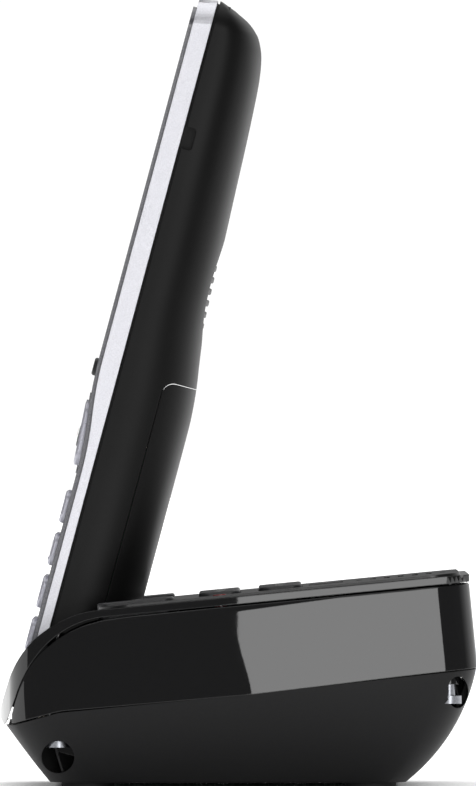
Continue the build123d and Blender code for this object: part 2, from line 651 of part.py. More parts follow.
with BuildPart() as rear_shell:
    add(shell_form.part)
    with BuildSketch(face_plane(SHELL_SEAM)):
        with Locations((0, (FRAME_TOP_FRONT + HANDSET_BOTTOM) / 2)):
            lip_height = FRAME_TOP_FRONT - HANDSET_BOTTOM - LIP_INSET
            RectangleRounded(SHELL_WIDTH - 2 * LIP_INSET, lip_height, HANDSET_CORNER)
    extrude(amount=SHELL_SEAM - SKIN_GAP)
    add(shell_cavity.part, mode=Mode.SUBTRACT)
    with BuildSketch(face_plane(COMPARTMENT_DEEP)):
        with Locations((0, CELL_MIDDLE)):
            Rectangle(COMPARTMENT_WIDTH, COMPARTMENT_LENGTH)
    extrude(amount=-SHELL_DEEP_LOWER, mode=Mode.SUBTRACT)
    with BuildSketch(face_plane(DOOR_SEAM)):
        with Locations((0, DOOR_TOP - SHELL_DEPTH_REACH)):
            Rectangle(2 * HANDSET_WIDTH, 2 * SHELL_DEPTH_REACH)
    extrude(amount=-SHELL_DEEP_LOWER, mode=Mode.SUBTRACT)
    with BuildSketch(HANDSET_REAR.offset(SHELL_DEEP_TOP - SHELL_WALL * 2)):
        with Locations((0, GRILLE_MIDDLE)):
            Circle(GRILLE_RADIUS + FIT_GAP)
    extrude(amount=SHELL_DEEP_LOWER, mode=Mode.SUBTRACT)
    with BuildSketch(face_plane(NOTCH_DEEP)):
        with Locations((SHELL_WIDTH / 2, NOTCH_MIDDLE), (-SHELL_WIDTH / 2, NOTCH_MIDDLE)):
            RectangleRounded(2 * NOTCH_INWARD, NOTCH_LENGTH, NOTCH_CORNER)
    extrude(amount=NOTCH_DEEP, mode=Mode.SUBTRACT)
    with BuildSketch(face_plane(COMPARTMENT_DEEP)):
        with Locations(*handset_screw_places):
            Circle(HANDSET_SCREW_HEAD + FIT_GAP)
    extrude(amount=-DOOR_SEAM, mode=Mode.SUBTRACT)
    with BuildSketch(face_plane(COMPARTMENT_DEEP)):
        with Locations(*handset_screw_places):
            Circle(HANDSET_SCREW_RADIUS + FIT_GAP)
    extrude(amount=COMPARTMENT_DEEP, mode=Mode.SUBTRACT)
    with BuildSketch(HANDSET_END.offset(HANDSET_BOTTOM)):
        with Locations((CHARGE_SIDE, CHARGE_DEEP), (-CHARGE_SIDE, CHARGE_DEEP)):
            Rectangle(CHARGE_WIDTH + FIT_GAP, CHARGE_LENGTH + FIT_GAP)
    extrude(amount=CHARGE_THICKNESS, mode=Mode.SUBTRACT)
pieces["rear_shell"] = rear_shell

with BuildPart() as battery_door:
    add(shell_form.part)
    with BuildSketch(face_plane(DOOR_SEAM + DOOR_GAP)):
        with Locations((0, DOOR_TOP - DOOR_GAP - SHELL_DEPTH_REACH)):
            Rectangle(2 * HANDSET_WIDTH, 2 * SHELL_DEPTH_REACH)
    extrude(amount=-SHELL_DEEP_LOWER, mode=Mode.INTERSECT)
    door_bottom = HANDSET_BOTTOM + DOOR_WALL
    lower_space = side_block(0, SHELL_DEEP_LOWER - DOOR_WALL, door_bottom, DOOR_THIN_BOTTOM)
    upper_space = side_block(0, DOOR_THIN_DEEP, DOOR_THIN_BOTTOM, DOOR_TOP + DOOR_WALL)
    extrude(lower_space, amount=CAVITY_SIDE, both=True, mode=Mode.SUBTRACT)
    extrude(upper_space, amount=CAVITY_SIDE, both=True, mode=Mode.SUBTRACT)
pieces["battery_door"] = battery_door

with BuildPart() as rear_speaker_grille:
    add(shell_form.part)
    with BuildSketch(HANDSET_REAR.offset(GRILLE_FLANGE_DEEP)):
        with Locations((0, GRILLE_MIDDLE)):
            Circle(GRILLE_RADIUS)
    extrude(amount=SHELL_DEEP_LOWER, mode=Mode.INTERSECT)
    with BuildSketch(HANDSET_REAR.offset(GRILLE_FLANGE_DEEP)):
        with Locations((0, GRILLE_MIDDLE)):
            Circle(GRILLE_RADIUS + SHELL_WALL)
    extrude(amount=GRILLE_FLANGE)
    with BuildSketch(HANDSET_REAR.offset(GRILLE_FLANGE_DEEP)):
        round_slots(GRILLE_MIDDLE, GRILLE_RADIUS - DISPLAY_CORNER, GRILLE_SLOT_PITCH, GRILLE_SLOT_WIDTH)
    extrude(amount=SHELL_DEEP_LOWER, mode=Mode.SUBTRACT)
pieces["rear_speaker_grille"] = rear_speaker_grille

with BuildPart() as rear_speaker:
    with BuildSketch(HANDSET_REAR.offset(GRILLE_FLANGE_DEEP - FIT_GAP)):
        with Locations((0, GRILLE_MIDDLE)):
            Circle(GRILLE_RADIUS - REAR_SPEAKER_GAP)
    extrude(amount=-REAR_SPEAKER_DEPTH)
pieces["rear_speaker"] = rear_speaker

with BuildPart() as earpiece:
    with BuildSketch(face_plane(FRAME_DEEP_UPPER + FRAME_WALL + FIT_GAP)):
        with Locations((0, EARPIECE_MIDDLE)):
            Circle(EARPIECE_RADIUS)
    extrude(amount=-DISPLAY_MODULE_THICKNESS)
pieces["earpiece"] = earpiece

with BuildPart() as handset_microphone:
    with BuildSketch(face_plane(FRAME_DEEP_LOWER + FRAME_WALL + FIT_GAP)):
        with Locations((0, MICROPHONE_MIDDLE)):
            Circle(MICROPHONE_RADIUS)
    extrude(amount=-SHELL_WALL)
pieces["handset_microphone"] = handset_microphone

with BuildPart() as keypad_mat:
    with BuildSketch(face_plane(MAT_DEEP)):
        with Locations((0, (MAT_TOP + BOARD_BOTTOM) / 2)):
            Rectangle(2 * BOARD_SIDE, MAT_TOP - BOARD_BOTTOM)
    extrude(amount=-MAT_THICKNESS)
pieces["keypad_mat"] = keypad_mat

with BuildPart() as handset_circuit_board:
    with BuildSketch(face_plane(MAT_DEEP + MAT_THICKNESS + FIT_GAP)):
        with Locations((0, (BOARD_TOP + BOARD_BOTTOM) / 2)):
            Rectangle(2 * BOARD_SIDE, BOARD_TOP - BOARD_BOTTOM)
    extrude(amount=-BOARD_THICKNESS)
pieces["handset_circuit_board"] = handset_circuit_board

with BuildPart() as battery_cells:
    with BuildSketch(HANDSET_END.offset(CELL_MIDDLE - CELL_LENGTH / 2)):
        with Locations((-CELL_PITCH / 2, CELL_DEEP), (CELL_PITCH / 2, CELL_DEEP)):
            Circle(CELL_RADIUS)
    extrude(amount=CELL_LENGTH)
    with BuildSketch(HANDSET_END.offset(CELL_MIDDLE + CELL_LENGTH / 2)):
        with Locations((-CELL_PITCH / 2, CELL_DEEP)):
            Circle(CELL_NUB_RADIUS)
    extrude(amount=CELL_NUB_LENGTH)
    with BuildSketch(HANDSET_END.offset(CELL_MIDDLE - CELL_LENGTH / 2)):
        with Locations((CELL_PITCH / 2, CELL_DEEP)):
            Circle(CELL_NUB_RADIUS)
    extrude(amount=-CELL_NUB_LENGTH)
pieces["battery_cells"] = battery_cells

with BuildPart() as battery_contacts:
    reach = CELL_LENGTH / 2 + CELL_NUB_LENGTH + FIT_GAP
    for end, outwards in ((CELL_MIDDLE + reach, 1), (CELL_MIDDLE - reach, -1)):
        with BuildSketch(HANDSET_END.offset(end)):
            with Locations((-CELL_PITCH / 2, CELL_DEEP), (CELL_PITCH / 2, CELL_DEEP)):
                Rectangle(CELL_CONTACT_SIZE, CELL_CONTACT_SIZE)
        extrude(amount=outwards * CELL_CONTACT_THICKNESS)
pieces["battery_contacts"] = battery_contacts

with BuildPart() as charge_contacts:
    with BuildSketch(HANDSET_END.offset(HANDSET_BOTTOM)):
        with Locations((CHARGE_SIDE, CHARGE_DEEP), (-CHARGE_SIDE, CHARGE_DEEP)):
            Rectangle(CHARGE_WIDTH, CHARGE_LENGTH)
    extrude(amount=CHARGE_THICKNESS)
pieces["charge_contacts"] = charge_contacts

with BuildPart() as handset_screws:
    with BuildSketch(face_plane(COMPARTMENT_DEEP)):
        with Locations(*handset_screw_places):
            Circle(HANDSET_SCREW_RADIUS)
    extrude(amount=COMPARTMENT_DEEP - HANDSET_SCREW_TIP)
    with BuildSketch(face_plane(COMPARTMENT_DEEP)):
        with Locations(*handset_screw_places):
            Circle(HANDSET_SCREW_HEAD)
    extrude(amount=-SHELL_WALL)
    with BuildSketch(face_plane(COMPARTMENT_DEEP + SHELL_WALL)):
        with Locations(*handset_screw_places):
            Rectangle(CROSS_LENGTH, CROSS_WIDTH)
            Rectangle(CROSS_WIDTH, CROSS_LENGTH)
    extrude(amount=CROSS_DEPTH, mode=Mode.SUBTRACT)
pieces["handset_screws"] = handset_screws

# ---------------------------------------------------------------------------
# Handset keys
# ---------------------------------------------------------------------------
for index, key_name in enumerate(NUMBER_NAMES):
    row, column = divmod(index, NUMBER_COLUMNS)
    place = ((column - 1) * NUMBER_COLUMN_PITCH, NUMBER_TOP_ROW - row * NUMBER_ROW_PITCH)
    with BuildPart() as number_key:
        with BuildSketch(face_plane(NUMBER_KEY_FACE)):
            with Locations(place):
                RectangleRounded(NUMBER_KEY_WIDTH, NUMBER_KEY_HEIGHT, NUMBER_KEY_CORNER)
        extrude(amount=NUMBER_KEY_FACE - NUMBER_FLANGE_DEEP)
        fillet(number_key.faces().sort_by(Axis(SEAM_TOP, BACK))[0].edges(), NUMBER_KEY_EDGE)
        with BuildSketch(face_plane(NUMBER_FLANGE_DEEP)):
            with Locations(place):
                Rectangle(NUMBER_KEY_WIDTH + KEY_FLANGE, NUMBER_KEY_HEIGHT + KEY_FLANGE)
        extrude(amount=-KEY_FLANGE_THICKNESS)
        if key_name == "5":
            with BuildSketch(face_plane(NUMBER_KEY_FACE + SKIN_GAP)):
                with Locations((place[0], place[1] - NIB_DROP)):
                    SlotOverall(NIB_LENGTH, NIB_WIDTH)
            extrude(amount=NIB_HEIGHT)
    pieces[f"key_{key_name}"] = number_key

for name, side in (("soft_key_left", -1), ("soft_key_right", 1)):
    place = (side * SOFT_KEY_SIDE, SOFT_KEY_MIDDLE)
    with BuildPart() as soft_key:
        with BuildSketch(face_plane(SOFT_KEY_FACE)):
            with Locations(place):
                RectangleRounded(SOFT_KEY_WIDTH, SOFT_KEY_HEIGHT, SOFT_KEY_CORNER)
        extrude(amount=SOFT_KEY_FACE - SOFT_FLANGE_DEEP)
        fillet(soft_key.faces().sort_by(Axis(SEAM_TOP, BACK))[0].edges(), NUMBER_KEY_EDGE)
        with BuildSketch(face_plane(SOFT_FLANGE_DEEP)):
            with Locations(place):
                Rectangle(SOFT_KEY_WIDTH + KEY_FLANGE, SOFT_KEY_HEIGHT + KEY_FLANGE)
        extrude(amount=-KEY_FLANGE_THICKNESS)
    pieces[name] = soft_key

for name, side in (("talk_key", -1), ("end_key", 1)):
    with BuildPart() as call_key:
        with BuildSketch(HANDSET_SIDE):
            sloped_key_outline()
        extrude(amount=HANDSET_WIDTH / 2, both=True)
        with BuildSketch(face_plane(SOFT_KEY_FACE)):
            with Locations((side * CALL_KEY_SIDE, NAV_MIDDLE)):
                RectangleRounded(CALL_KEY_WIDTH, CALL_KEY_HEIGHT, CALL_KEY_CORNER)
        extrude(amount=SOFT_KEY_FACE, mode=Mode.INTERSECT)
        fillet(call_key.faces().sort_by(Axis(SEAM_TOP, BACK))[0].edges(), NUMBER_KEY_EDGE)
        with BuildSketch(face_plane(NUMBER_FLANGE_DEEP)):
            with Locations((side * CALL_KEY_SIDE, NAV_MIDDLE)):
                Rectangle(CALL_KEY_WIDTH + KEY_FLANGE, CALL_KEY_HEIGHT + KEY_FLANGE)
        extrude(amount=-KEY_FLANGE_THICKNESS)
    pieces[name] = call_key

with BuildPart() as nav_ring:
    with BuildSketch(HANDSET_SIDE):
        sloped_key_outline()
    extrude(amount=HANDSET_WIDTH / 2, both=True)
    with BuildSketch(face_plane(SOFT_KEY_FACE)):
        with Locations((0, NAV_MIDDLE)):
            Circle(NAV_RADIUS)
            Circle(NAV_INNER_RADIUS, mode=Mode.SUBTRACT)
    extrude(amount=SOFT_KEY_FACE - NAV_BACK, mode=Mode.INTERSECT)
pieces["nav_ring"] = nav_ring

with BuildPart() as nav_pivot:
    with BuildSketch(face_plane(NAV_PIVOT_DEEP)):
        with Locations((0, NAV_MIDDLE)):
            Circle(NAV_PIVOT_RADIUS)
            Circle(NAV_INNER_RADIUS + SELECT_GAP, mode=Mode.SUBTRACT)
    extrude(amount=-NAV_PIVOT_THICKNESS)
pieces["nav_pivot"] = nav_pivot

with BuildPart() as select_key:
    with BuildSketch(face_plane(SELECT_FACE)):
        with Locations((0, NAV_MIDDLE)):
            Circle(SELECT_RADIUS)
    extrude(amount=SELECT_FACE - NAV_PIVOT_DEEP)
    fillet(select_key.faces().sort_by(Axis(SEAM_TOP, BACK))[0].edges(), NUMBER_KEY_EDGE)
pieces["select_key"] = select_key

# ---------------------------------------------------------------------------
# Base outer forms, from which its shells are cut
# ---------------------------------------------------------------------------
with BuildPart() as base_form:
    with BuildSketch(Plane.YZ):
        with BuildLine():
            rim_start = rounded_hood(RIM_FRONT, PANEL_THICKNESS, HOOD_SHOULDER, HOOD_CHEST, HOOD_NOSE)
            Polyline(
                HOOD_NOSE,
                HOOD_END,
                HULL_FRONT_BOTTOM,
                (HOUSING_REAR_BOTTOM, BASE_FLOOR),
                (HOUSING_REAR_BOTTOM, CREASE_REAR),
                (COVER_REAR, deck_height(COVER_REAR, PANEL_THICKNESS)),
                rim_start,
            )
        make_face()
    extrude(amount=BASE_WIDTH, both=True)
    extrude(plan_outline(), amount=BASE_WIDTH, mode=Mode.INTERSECT)

with BuildPart() as pocket_well:
    well_front = FACIA_DEEP_LOWER - POCKET_GAP - POCKET_WALL
    well_back = SHELL_DEEP_LOWER + POCKET_GAP + POCKET_WALL
    trench_front = DOOR_SEAM - POCKET_GAP - POCKET_WALL
    shallow_floor = side_block(well_front, well_back, POCKET_FLOOR - POCKET_WALL, NUMBER_TOP_ROW)
    deep_floor = side_block(trench_front, well_back, POCKET_TRENCH - POCKET_WALL, NUMBER_TOP_ROW)
    extrude(shallow_floor, amount=HANDSET_WIDTH / 2 + POCKET_GAP + POCKET_WALL, both=True)
    extrude(deep_floor, amount=HANDSET_WIDTH / 2 + POCKET_GAP + POCKET_WALL, both=True)
    add(base_form.part, mode=Mode.INTERSECT)

# ---------------------------------------------------------------------------
# Base pieces
# ---------------------------------------------------------------------------
with BuildPart() as top_cover:
    with BuildSketch(Plane.YZ):
        with BuildLine():
            rim_start = rounded_hood(RIM_FRONT, PANEL_THICKNESS, HOOD_SHOULDER, HOOD_CHEST, HOOD_NOSE)
            Polyline(HOOD_NOSE, HOOD_END, BAND_END, BAND_CHEST)
            cover_depth = PANEL_THICKNESS + COVER_THICKNESS
            band_start = rounded_hood(BAND_FRONT, cover_depth, BAND_SHOULDER, BAND_CHEST, None)
            Polyline(
                band_start,
                (COVER_REAR, deck_height(COVER_REAR, cover_depth)),
                (COVER_REAR, deck_height(COVER_REAR, PANEL_THICKNESS)),
                rim_start,
            )
        make_face()
    extrude(amount=BASE_WIDTH, both=True)
    extrude(plan_outline(), amount=BASE_WIDTH, mode=Mode.INTERSECT)
    add(pocket_well.part)
    for x, y, top in well_places:
        with BuildSketch(Plane.XY.offset(top + 2 * WELL_WALL)):
            with Locations((x, y)):
                Circle(BOSS_RADIUS)
        extrude(amount=deck_height(y, cover_depth) + FIT_GAP - top - 2 * WELL_WALL - boss_drop(y))
        with BuildSketch(Plane.XY.offset(top)):
            with Locations((x, y)):
                Circle(SCREW_RADIUS + FIT_GAP / 2)
        extrude(amount=SCREW_TIP_ABOVE + WELL_WALL, mode=Mode.SUBTRACT)
    # The handset's place, with a deeper trench that the battery door can slide into
    pocket_half = HANDSET_WIDTH / 2 + POCKET_GAP
    room_back = SHELL_DEEP_LOWER + POCKET_GAP
    front_room = side_block(FACIA_DEEP_LOWER - POCKET_GAP, room_back, POCKET_FLOOR, CURVE_BOTTOM)
    door_room = side_block(DOOR_SEAM - POCKET_GAP, room_back, POCKET_TRENCH, CURVE_BOTTOM)
    extrude(front_room, amount=pocket_half, both=True, mode=Mode.SUBTRACT)
    extrude(door_room, amount=pocket_half, both=True, mode=Mode.SUBTRACT)
    with BuildSketch(Plane.XY.offset(LIP_HEIGHT)):
        with Locations((0, SIDE_CURVE_END[1])):
            Rectangle(2 * pocket_half, LIP_CUT_DEPTH)
    extrude(amount=LIP_HEIGHT, mode=Mode.SUBTRACT)
    with BuildSketch(HANDSET_END.offset(POCKET_FLOOR)):
        with Locations((CHARGE_SIDE, CHARGE_DEEP), (-CHARGE_SIDE, CHARGE_DEEP)):
            Rectangle(SPRING_WIDTH + SLOT_GAP, SPRING_LENGTH + SLOT_GAP)
    extrude(amount=-2 * POCKET_WALL, mode=Mode.SUBTRACT)
    with BuildSketch(DECK.offset(DECK_KEY_PROUD)):
        for place, width, length in deck_key_places().values():
            with Locations(place):
                RectangleRounded(width + 2 * KEY_HOLE_GAP, length + 2 * KEY_HOLE_GAP, DECK_KEY_CORNER)
        with Locations(LAMP_PLACE):
            Circle(LAMP_RADIUS + FIT_GAP)
        with Locations((0, MESSAGE_MIDDLE)):
            Rectangle(MESSAGE_WIDTH - DISPLAY_CORNER, MESSAGE_HEIGHT - DISPLAY_CORNER)
        round_slots(SPEAKER_MIDDLE, BASE_SPEAKER_RADIUS - SHELL_WALL, SPEAKER_SLOT_PITCH, SPEAKER_SLOT_WIDTH)
    extrude(amount=-VOLUME_KEY_WIDTH / 2, mode=Mode.SUBTRACT)
pieces["top_cover"] = top_cover

with BuildPart() as deck_panel:
    with BuildSketch(DECK):
        with Locations((0, (PANEL_FRONT + PANEL_REAR) / 2)):
            RectangleRounded(2 * PANEL_SIDE, PANEL_REAR - PANEL_FRONT, PANEL_CORNER)
        with Locations((0, POCKET_MOUTH_REAR)):
            mouth_width = HANDSET_WIDTH + 2 * POCKET_GAP + 2 * POCKET_WALL
            Rectangle(mouth_width, HANDSET_WIDTH, align=(Align.CENTER, Align.MAX), mode=Mode.SUBTRACT)
        for place, width, length in deck_key_places().values():
            with Locations(place):
                opening = (width + 2 * KEY_HOLE_GAP, length + 2 * KEY_HOLE_GAP)
                RectangleRounded(*opening, DECK_KEY_CORNER, mode=Mode.SUBTRACT)
        with Locations(LAMP_PLACE):
            Circle(LAMP_RADIUS + FIT_GAP, mode=Mode.SUBTRACT)
        with Locations((0, MESSAGE_MIDDLE)):
            RectangleRounded(MESSAGE_WIDTH, MESSAGE_HEIGHT, MESSAGE_CORNER, mode=Mode.SUBTRACT)
    extrude(amount=-PANEL_THICKNESS)
    with BuildSketch(DECK):
        round_slots(SPEAKER_MIDDLE, BASE_SPEAKER_RADIUS - SHELL_WALL, SPEAKER_SLOT_PITCH, SPEAKER_SLOT_WIDTH)
    extrude(amount=-PANEL_THICKNESS, mode=Mode.SUBTRACT)
pieces["deck_panel"] = deck_panel

with BuildPart() as housing_void:
    with BuildSketch(Plane.YZ):
        Polygon(
            (HOUSING_REAR_TOP - BASE_WALL, 2 * CREASE_REAR),
            (HOUSING_REAR_BOTTOM - BASE_WALL, CREASE_REAR),
            (HOUSING_REAR_BOTTOM - BASE_WALL, 0),
            (2 * NOSE_Y, 0),
            (2 * NOSE_Y, 2 * CREASE_REAR),
            align=None,
        )
    extrude(amount=BASE_WIDTH, both=True)
    extrude(plan_outline(BASE_WALL), amount=BASE_WIDTH, mode=Mode.INTERSECT)

with BuildPart() as side_housing:
    with BuildSketch(Plane.YZ):
        with BuildLine():
            housing_depth = PANEL_THICKNESS + COVER_THICKNESS + GROOVE
            housing_start = rounded_hood(HOUSING_FRONT, housing_depth, HOUSING_SHOULDER, HOUSING_CHEST, None)
            Polyline(
                HOUSING_CHEST,
                HOUSING_END,
                CREASE_END,
                CREASE_FRONT,
                (HOUSING_REAR_BOTTOM, CREASE_REAR),
                (HOUSING_REAR_TOP, deck_height(HOUSING_REAR_TOP, housing_depth)),
                housing_start,
            )
        make_face()
    extrude(amount=BASE_WIDTH, both=True)
    extrude(plan_outline(), amount=BASE_WIDTH, mode=Mode.INTERSECT)
    add(housing_void.part, mode=Mode.SUBTRACT)
    with BuildSketch(Plane.XZ.offset(-HOUSING_REAR_BOTTOM - BASE_WALL)):
        with Locations((-JACK_SIDE, JACK_HEIGHT)):
            Rectangle(POWER_JACK_SIZE + 2 * FIT_GAP, POWER_JACK_SIZE + 2 * FIT_GAP)
        with Locations((JACK_SIDE, JACK_HEIGHT)):
            Rectangle(LINE_WIDTH + 2 * FIT_GAP, LINE_HEIGHT + 2 * FIT_GAP)
    extrude(amount=VOLUME_KEY_WIDTH, mode=Mode.SUBTRACT)
pieces["side_housing"] = side_housing

with BuildPart() as hull_form:
    with BuildSketch(Plane.YZ):
        with BuildLine():
            stern = CenterArc(HULL_CENTRE, HULL_RADIUS, HULL_START, HULL_SWEEP)
            Polyline(
                stern @ 1,
                ((stern @ 1).X, BASE_FLOOR),
                HULL_FRONT_BOTTOM,
                HULL_FRONT_TOP,
                (CREASE_END[0], CREASE_END[1] - GROOVE),
                (CREASE_FRONT[0], CREASE_FRONT[1] - HULL_INSET),
                ((stern @ 0).X - HULL_INSET, (stern @ 0).Y - HULL_INSET),
                stern @ 0,
            )
        make_face()
    extrude(amount=BASE_WIDTH, both=True)
    extrude(plan_outline(), amount=BASE_WIDTH, mode=Mode.INTERSECT)
    extrude(hull_section(), amount=BASE_WIDTH, both=True, mode=Mode.INTERSECT)

with BuildPart() as hull_void:
    with BuildSketch(Plane.YZ):
        with BuildLine():
            stern = CenterArc(HULL_CENTRE, HULL_RADIUS - BASE_WALL, HULL_START, HULL_SWEEP)
            Polyline(
                stern @ 1,
                ((stern @ 1).X, BASE_FLOOR + BASE_WALL),
                (HULL_FRONT_BOTTOM[0] + WELL_WALL, BASE_FLOOR + BASE_WALL),
                (HULL_FRONT_TOP[0] + BASE_WALL, HULL_FRONT_TOP[1]),
                (HULL_FRONT_TOP[0] + BASE_WALL, CREASE_REAR * 2),
                ((stern @ 0).X, CREASE_REAR * 2),
                stern @ 0,
            )
        make_face()
    extrude(amount=BASE_WIDTH, both=True)
    extrude(plan_outline(BASE_WALL), amount=BASE_WIDTH, mode=Mode.INTERSECT)
    extrude(hull_section(BASE_WALL), amount=BASE_WIDTH, both=True, mode=Mode.INTERSECT)

with BuildPart() as well_bosses:
    for x, y, top in well_places:
        with BuildSketch(Plane.XY.offset(BASE_FLOOR)):
            with Locations((x, y)):
                Circle(WELL_RADIUS + WELL_WALL)
        extrude(amount=top + WELL_WALL - BASE_FLOOR)
    add(hull_form.part, mode=Mode.INTERSECT)

with BuildPart() as bottom_shell:
    add(hull_form.part)
    add(hull_void.part, mode=Mode.SUBTRACT)
    add(well_bosses.part)
    for x, y, top in well_places:
        with BuildSketch(Plane.XY):
            with Locations((x, y)):
                Circle(WELL_RADIUS)
        extrude(amount=top, mode=Mode.SUBTRACT)
        with BuildSketch(Plane.XY):
            with Locations((x, y)):
                Circle(SCREW_RADIUS + FIT_GAP / 2)
        extrude(amount=top + 2 * WELL_WALL, mode=Mode.SUBTRACT)
pieces["bottom_shell"] = bottom_shell

with BuildPart() as base_feet:
    with BuildSketch(Plane.XY):
        with Locations(*foot_places):
            Circle(FOOT_RADIUS)
    extrude(amount=BASE_FLOOR)
    foot_edges = base_feet.faces().sort_by(Axis.Z)[: len(foot_places)].edges()
    fillet(foot_edges, FOOT_EDGE)
pieces["base_feet"] = base_feet

with BuildPart() as base_screws:
    for x, y, top in well_places:
        with BuildSketch(Plane.XY.offset(top)):
            with Locations((x, y)):
                Circle(SCREW_RADIUS)
        extrude(amount=SCREW_TIP_ABOVE)
        with BuildSketch(Plane.XY.offset(top)):
            with Locations((x, y)):
                Circle(SCREW_HEAD_RADIUS)
        extrude(amount=-SCREW_HEAD_HEIGHT)
        with BuildSketch(Plane.XY.offset(top - SCREW_HEAD_HEIGHT)):
            with Locations((x, y)):
                Rectangle(CROSS_LENGTH, CROSS_WIDTH)
                Rectangle(CROSS_WIDTH, CROSS_LENGTH)
        extrude(amount=CROSS_DEPTH, mode=Mode.SUBTRACT)
pieces["base_screws"] = base_screws

with BuildPart() as key_board:
    with BuildSketch(DECK.offset(KEY_BOARD_AT)):
        with Locations((0, (KEY_BOARD_FRONT + KEY_BOARD_REAR) / 2)):
            Rectangle(2 * KEY_BOARD_SIDE, KEY_BOARD_REAR - KEY_BOARD_FRONT)
        with Locations((0, POCKET_MOUTH_REAR + POCKET_WALL)):
            Rectangle(mouth_width + 2 * KEY_BOARD_GAP, HANDSET_WIDTH, align=(Align.CENTER, Align.MAX), mode=Mode.SUBTRACT)
    extrude(amount=-SHELL_WALL)
pieces["key_board"] = key_board

for name, (place, width, length) in deck_key_places().items():
    with BuildPart() as deck_key:
        with BuildSketch(DECK.offset(DECK_KEY_PROUD)):
            with Locations(place):
                RectangleRounded(width, length, DECK_KEY_CORNER)
        extrude(amount=DECK_KEY_FLANGE_AT - DECK_KEY_PROUD)
        fillet(deck_key.faces().sort_by(Axis.Z)[-1].edges(), NUMBER_KEY_EDGE)
        with BuildSketch(DECK.offset(DECK_KEY_FLANGE_AT)):
            with Locations(place):
                Rectangle(width + KEY_FLANGE, length + KEY_FLANGE)
        extrude(amount=-KEY_FLANGE_THICKNESS)
    pieces[name] = deck_key

with BuildPart() as charge_lamp:
    with BuildSketch(DECK.offset(LAMP_PROUD)):
        with Locations(LAMP_PLACE):
            Circle(LAMP_RADIUS)
    extrude(amount=KEY_BOARD_AT - LAMP_PROUD + FIT_GAP)
pieces["charge_lamp"] = charge_lamp

with BuildPart() as message_window:
    with BuildSketch(DECK.offset(-PANEL_THICKNESS + SKIN_GAP)):
        with Locations((0, MESSAGE_MIDDLE)):
            RectangleRounded(MESSAGE_WIDTH - FIT_GAP, MESSAGE_HEIGHT - FIT_GAP, MESSAGE_CORNER)
    extrude(amount=PANEL_THICKNESS - SKIN_GAP)
pieces["message_window"] = message_window

with BuildPart() as message_display:
    with BuildSketch(DECK.offset(-PANEL_THICKNESS - COVER_THICKNESS - FIT_GAP)):
        with Locations((0, MESSAGE_MIDDLE)):
            Rectangle(MESSAGE_WIDTH, MESSAGE_HEIGHT - MESSAGE_CORNER)
    extrude(amount=-MESSAGE_DEPTH)
pieces["message_display"] = message_display

with BuildPart() as base_speaker:
    with BuildSketch(DECK.offset(-PANEL_THICKNESS - COVER_THICKNESS - FIT_GAP)):
        with Locations((0, SPEAKER_MIDDLE)):
            Circle(BASE_SPEAKER_RADIUS)
    extrude(amount=-BASE_SPEAKER_DEPTH / 2)
    with BuildSketch(DECK.offset(-PANEL_THICKNESS - COVER_THICKNESS - BASE_SPEAKER_DEPTH / 2)):
        with Locations((0, SPEAKER_MIDDLE)):
            Circle(BASE_MAGNET_RADIUS)
    extrude(amount=-BASE_SPEAKER_DEPTH / 2)
pieces["base_speaker"] = base_speaker

with BuildPart() as power_jack:
    with BuildSketch(Plane.XZ.offset(-JACK_FACE)):
        with Locations((-JACK_SIDE, JACK_HEIGHT)):
            Rectangle(POWER_JACK_SIZE, POWER_JACK_SIZE)
    extrude(amount=POWER_JACK_DEPTH)
    with BuildSketch(Plane.XZ.offset(-JACK_FACE)):
        with Locations((-JACK_SIDE, JACK_HEIGHT)):
            Circle(POWER_JACK_BORE)
            Circle(POWER_JACK_PIN, mode=Mode.SUBTRACT)
    extrude(amount=POWER_JACK_REACH, mode=Mode.SUBTRACT)
pieces["power_jack"] = power_jack

with BuildPart() as line_socket:
    with BuildSketch(Plane.XZ.offset(-JACK_FACE)):
        with Locations((JACK_SIDE, JACK_HEIGHT)):
            Rectangle(LINE_WIDTH, LINE_HEIGHT)
    extrude(amount=LINE_DEPTH)
    with BuildSketch(Plane.XZ.offset(-JACK_FACE)):
        with Locations((JACK_SIDE, JACK_HEIGHT)):
            Rectangle(LINE_MOUTH_WIDTH, LINE_MOUTH_HEIGHT)
        with Locations((JACK_SIDE, JACK_HEIGHT - LINE_MOUTH_HEIGHT / 2)):
            Rectangle(LINE_MOUTH_WIDTH / 2, 2 * SHELL_WALL)
    extrude(amount=LINE_MOUTH_DEPTH, mode=Mode.SUBTRACT)
pieces["line_socket"] = line_socket

with BuildPart() as charge_springs:
    with BuildSketch(HANDSET_END.offset(HANDSET_BOTTOM - SPRING_GAP)):
        with Locations((CHARGE_SIDE, CHARGE_DEEP), (-CHARGE_SIDE, CHARGE_DEEP)):
            Rectangle(SPRING_WIDTH, SPRING_LENGTH)
    extrude(amount=-SPRING_HEIGHT)
pieces["charge_springs"] = charge_springs

with BuildPart() as antenna:
    with Locations(ANTENNA_MIDDLE):
        Box(*ANTENNA_SIZE)
pieces["antenna"] = antenna

with BuildPart() as ballast:
    with Locations((0, BALLAST_Y, BASE_FLOOR + BASE_WALL)):
        Box(*BALLAST_SIZE, align=(Align.CENTER, Align.CENTER, Align.MIN))
pieces["ballast"] = ballast

os.makedirs("parts", exist_ok=True)
for name, piece in pieces.items():
    piece.part.label = name
    export_step(piece.part, f"parts/{name}.step")
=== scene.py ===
"""Cordless phone standing in its charging base with an answering machine: finished visual model.

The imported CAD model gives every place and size. This script makes the visible skins, the
small surface detail and the finishes over it, and a plain studio to look at them in.
"""

import json
import logging
import math
from dataclasses import dataclass, field
from enum import Enum
from typing import Any

import bmesh
import bpy
import numpy as np
from mathutils import Matrix, Vector

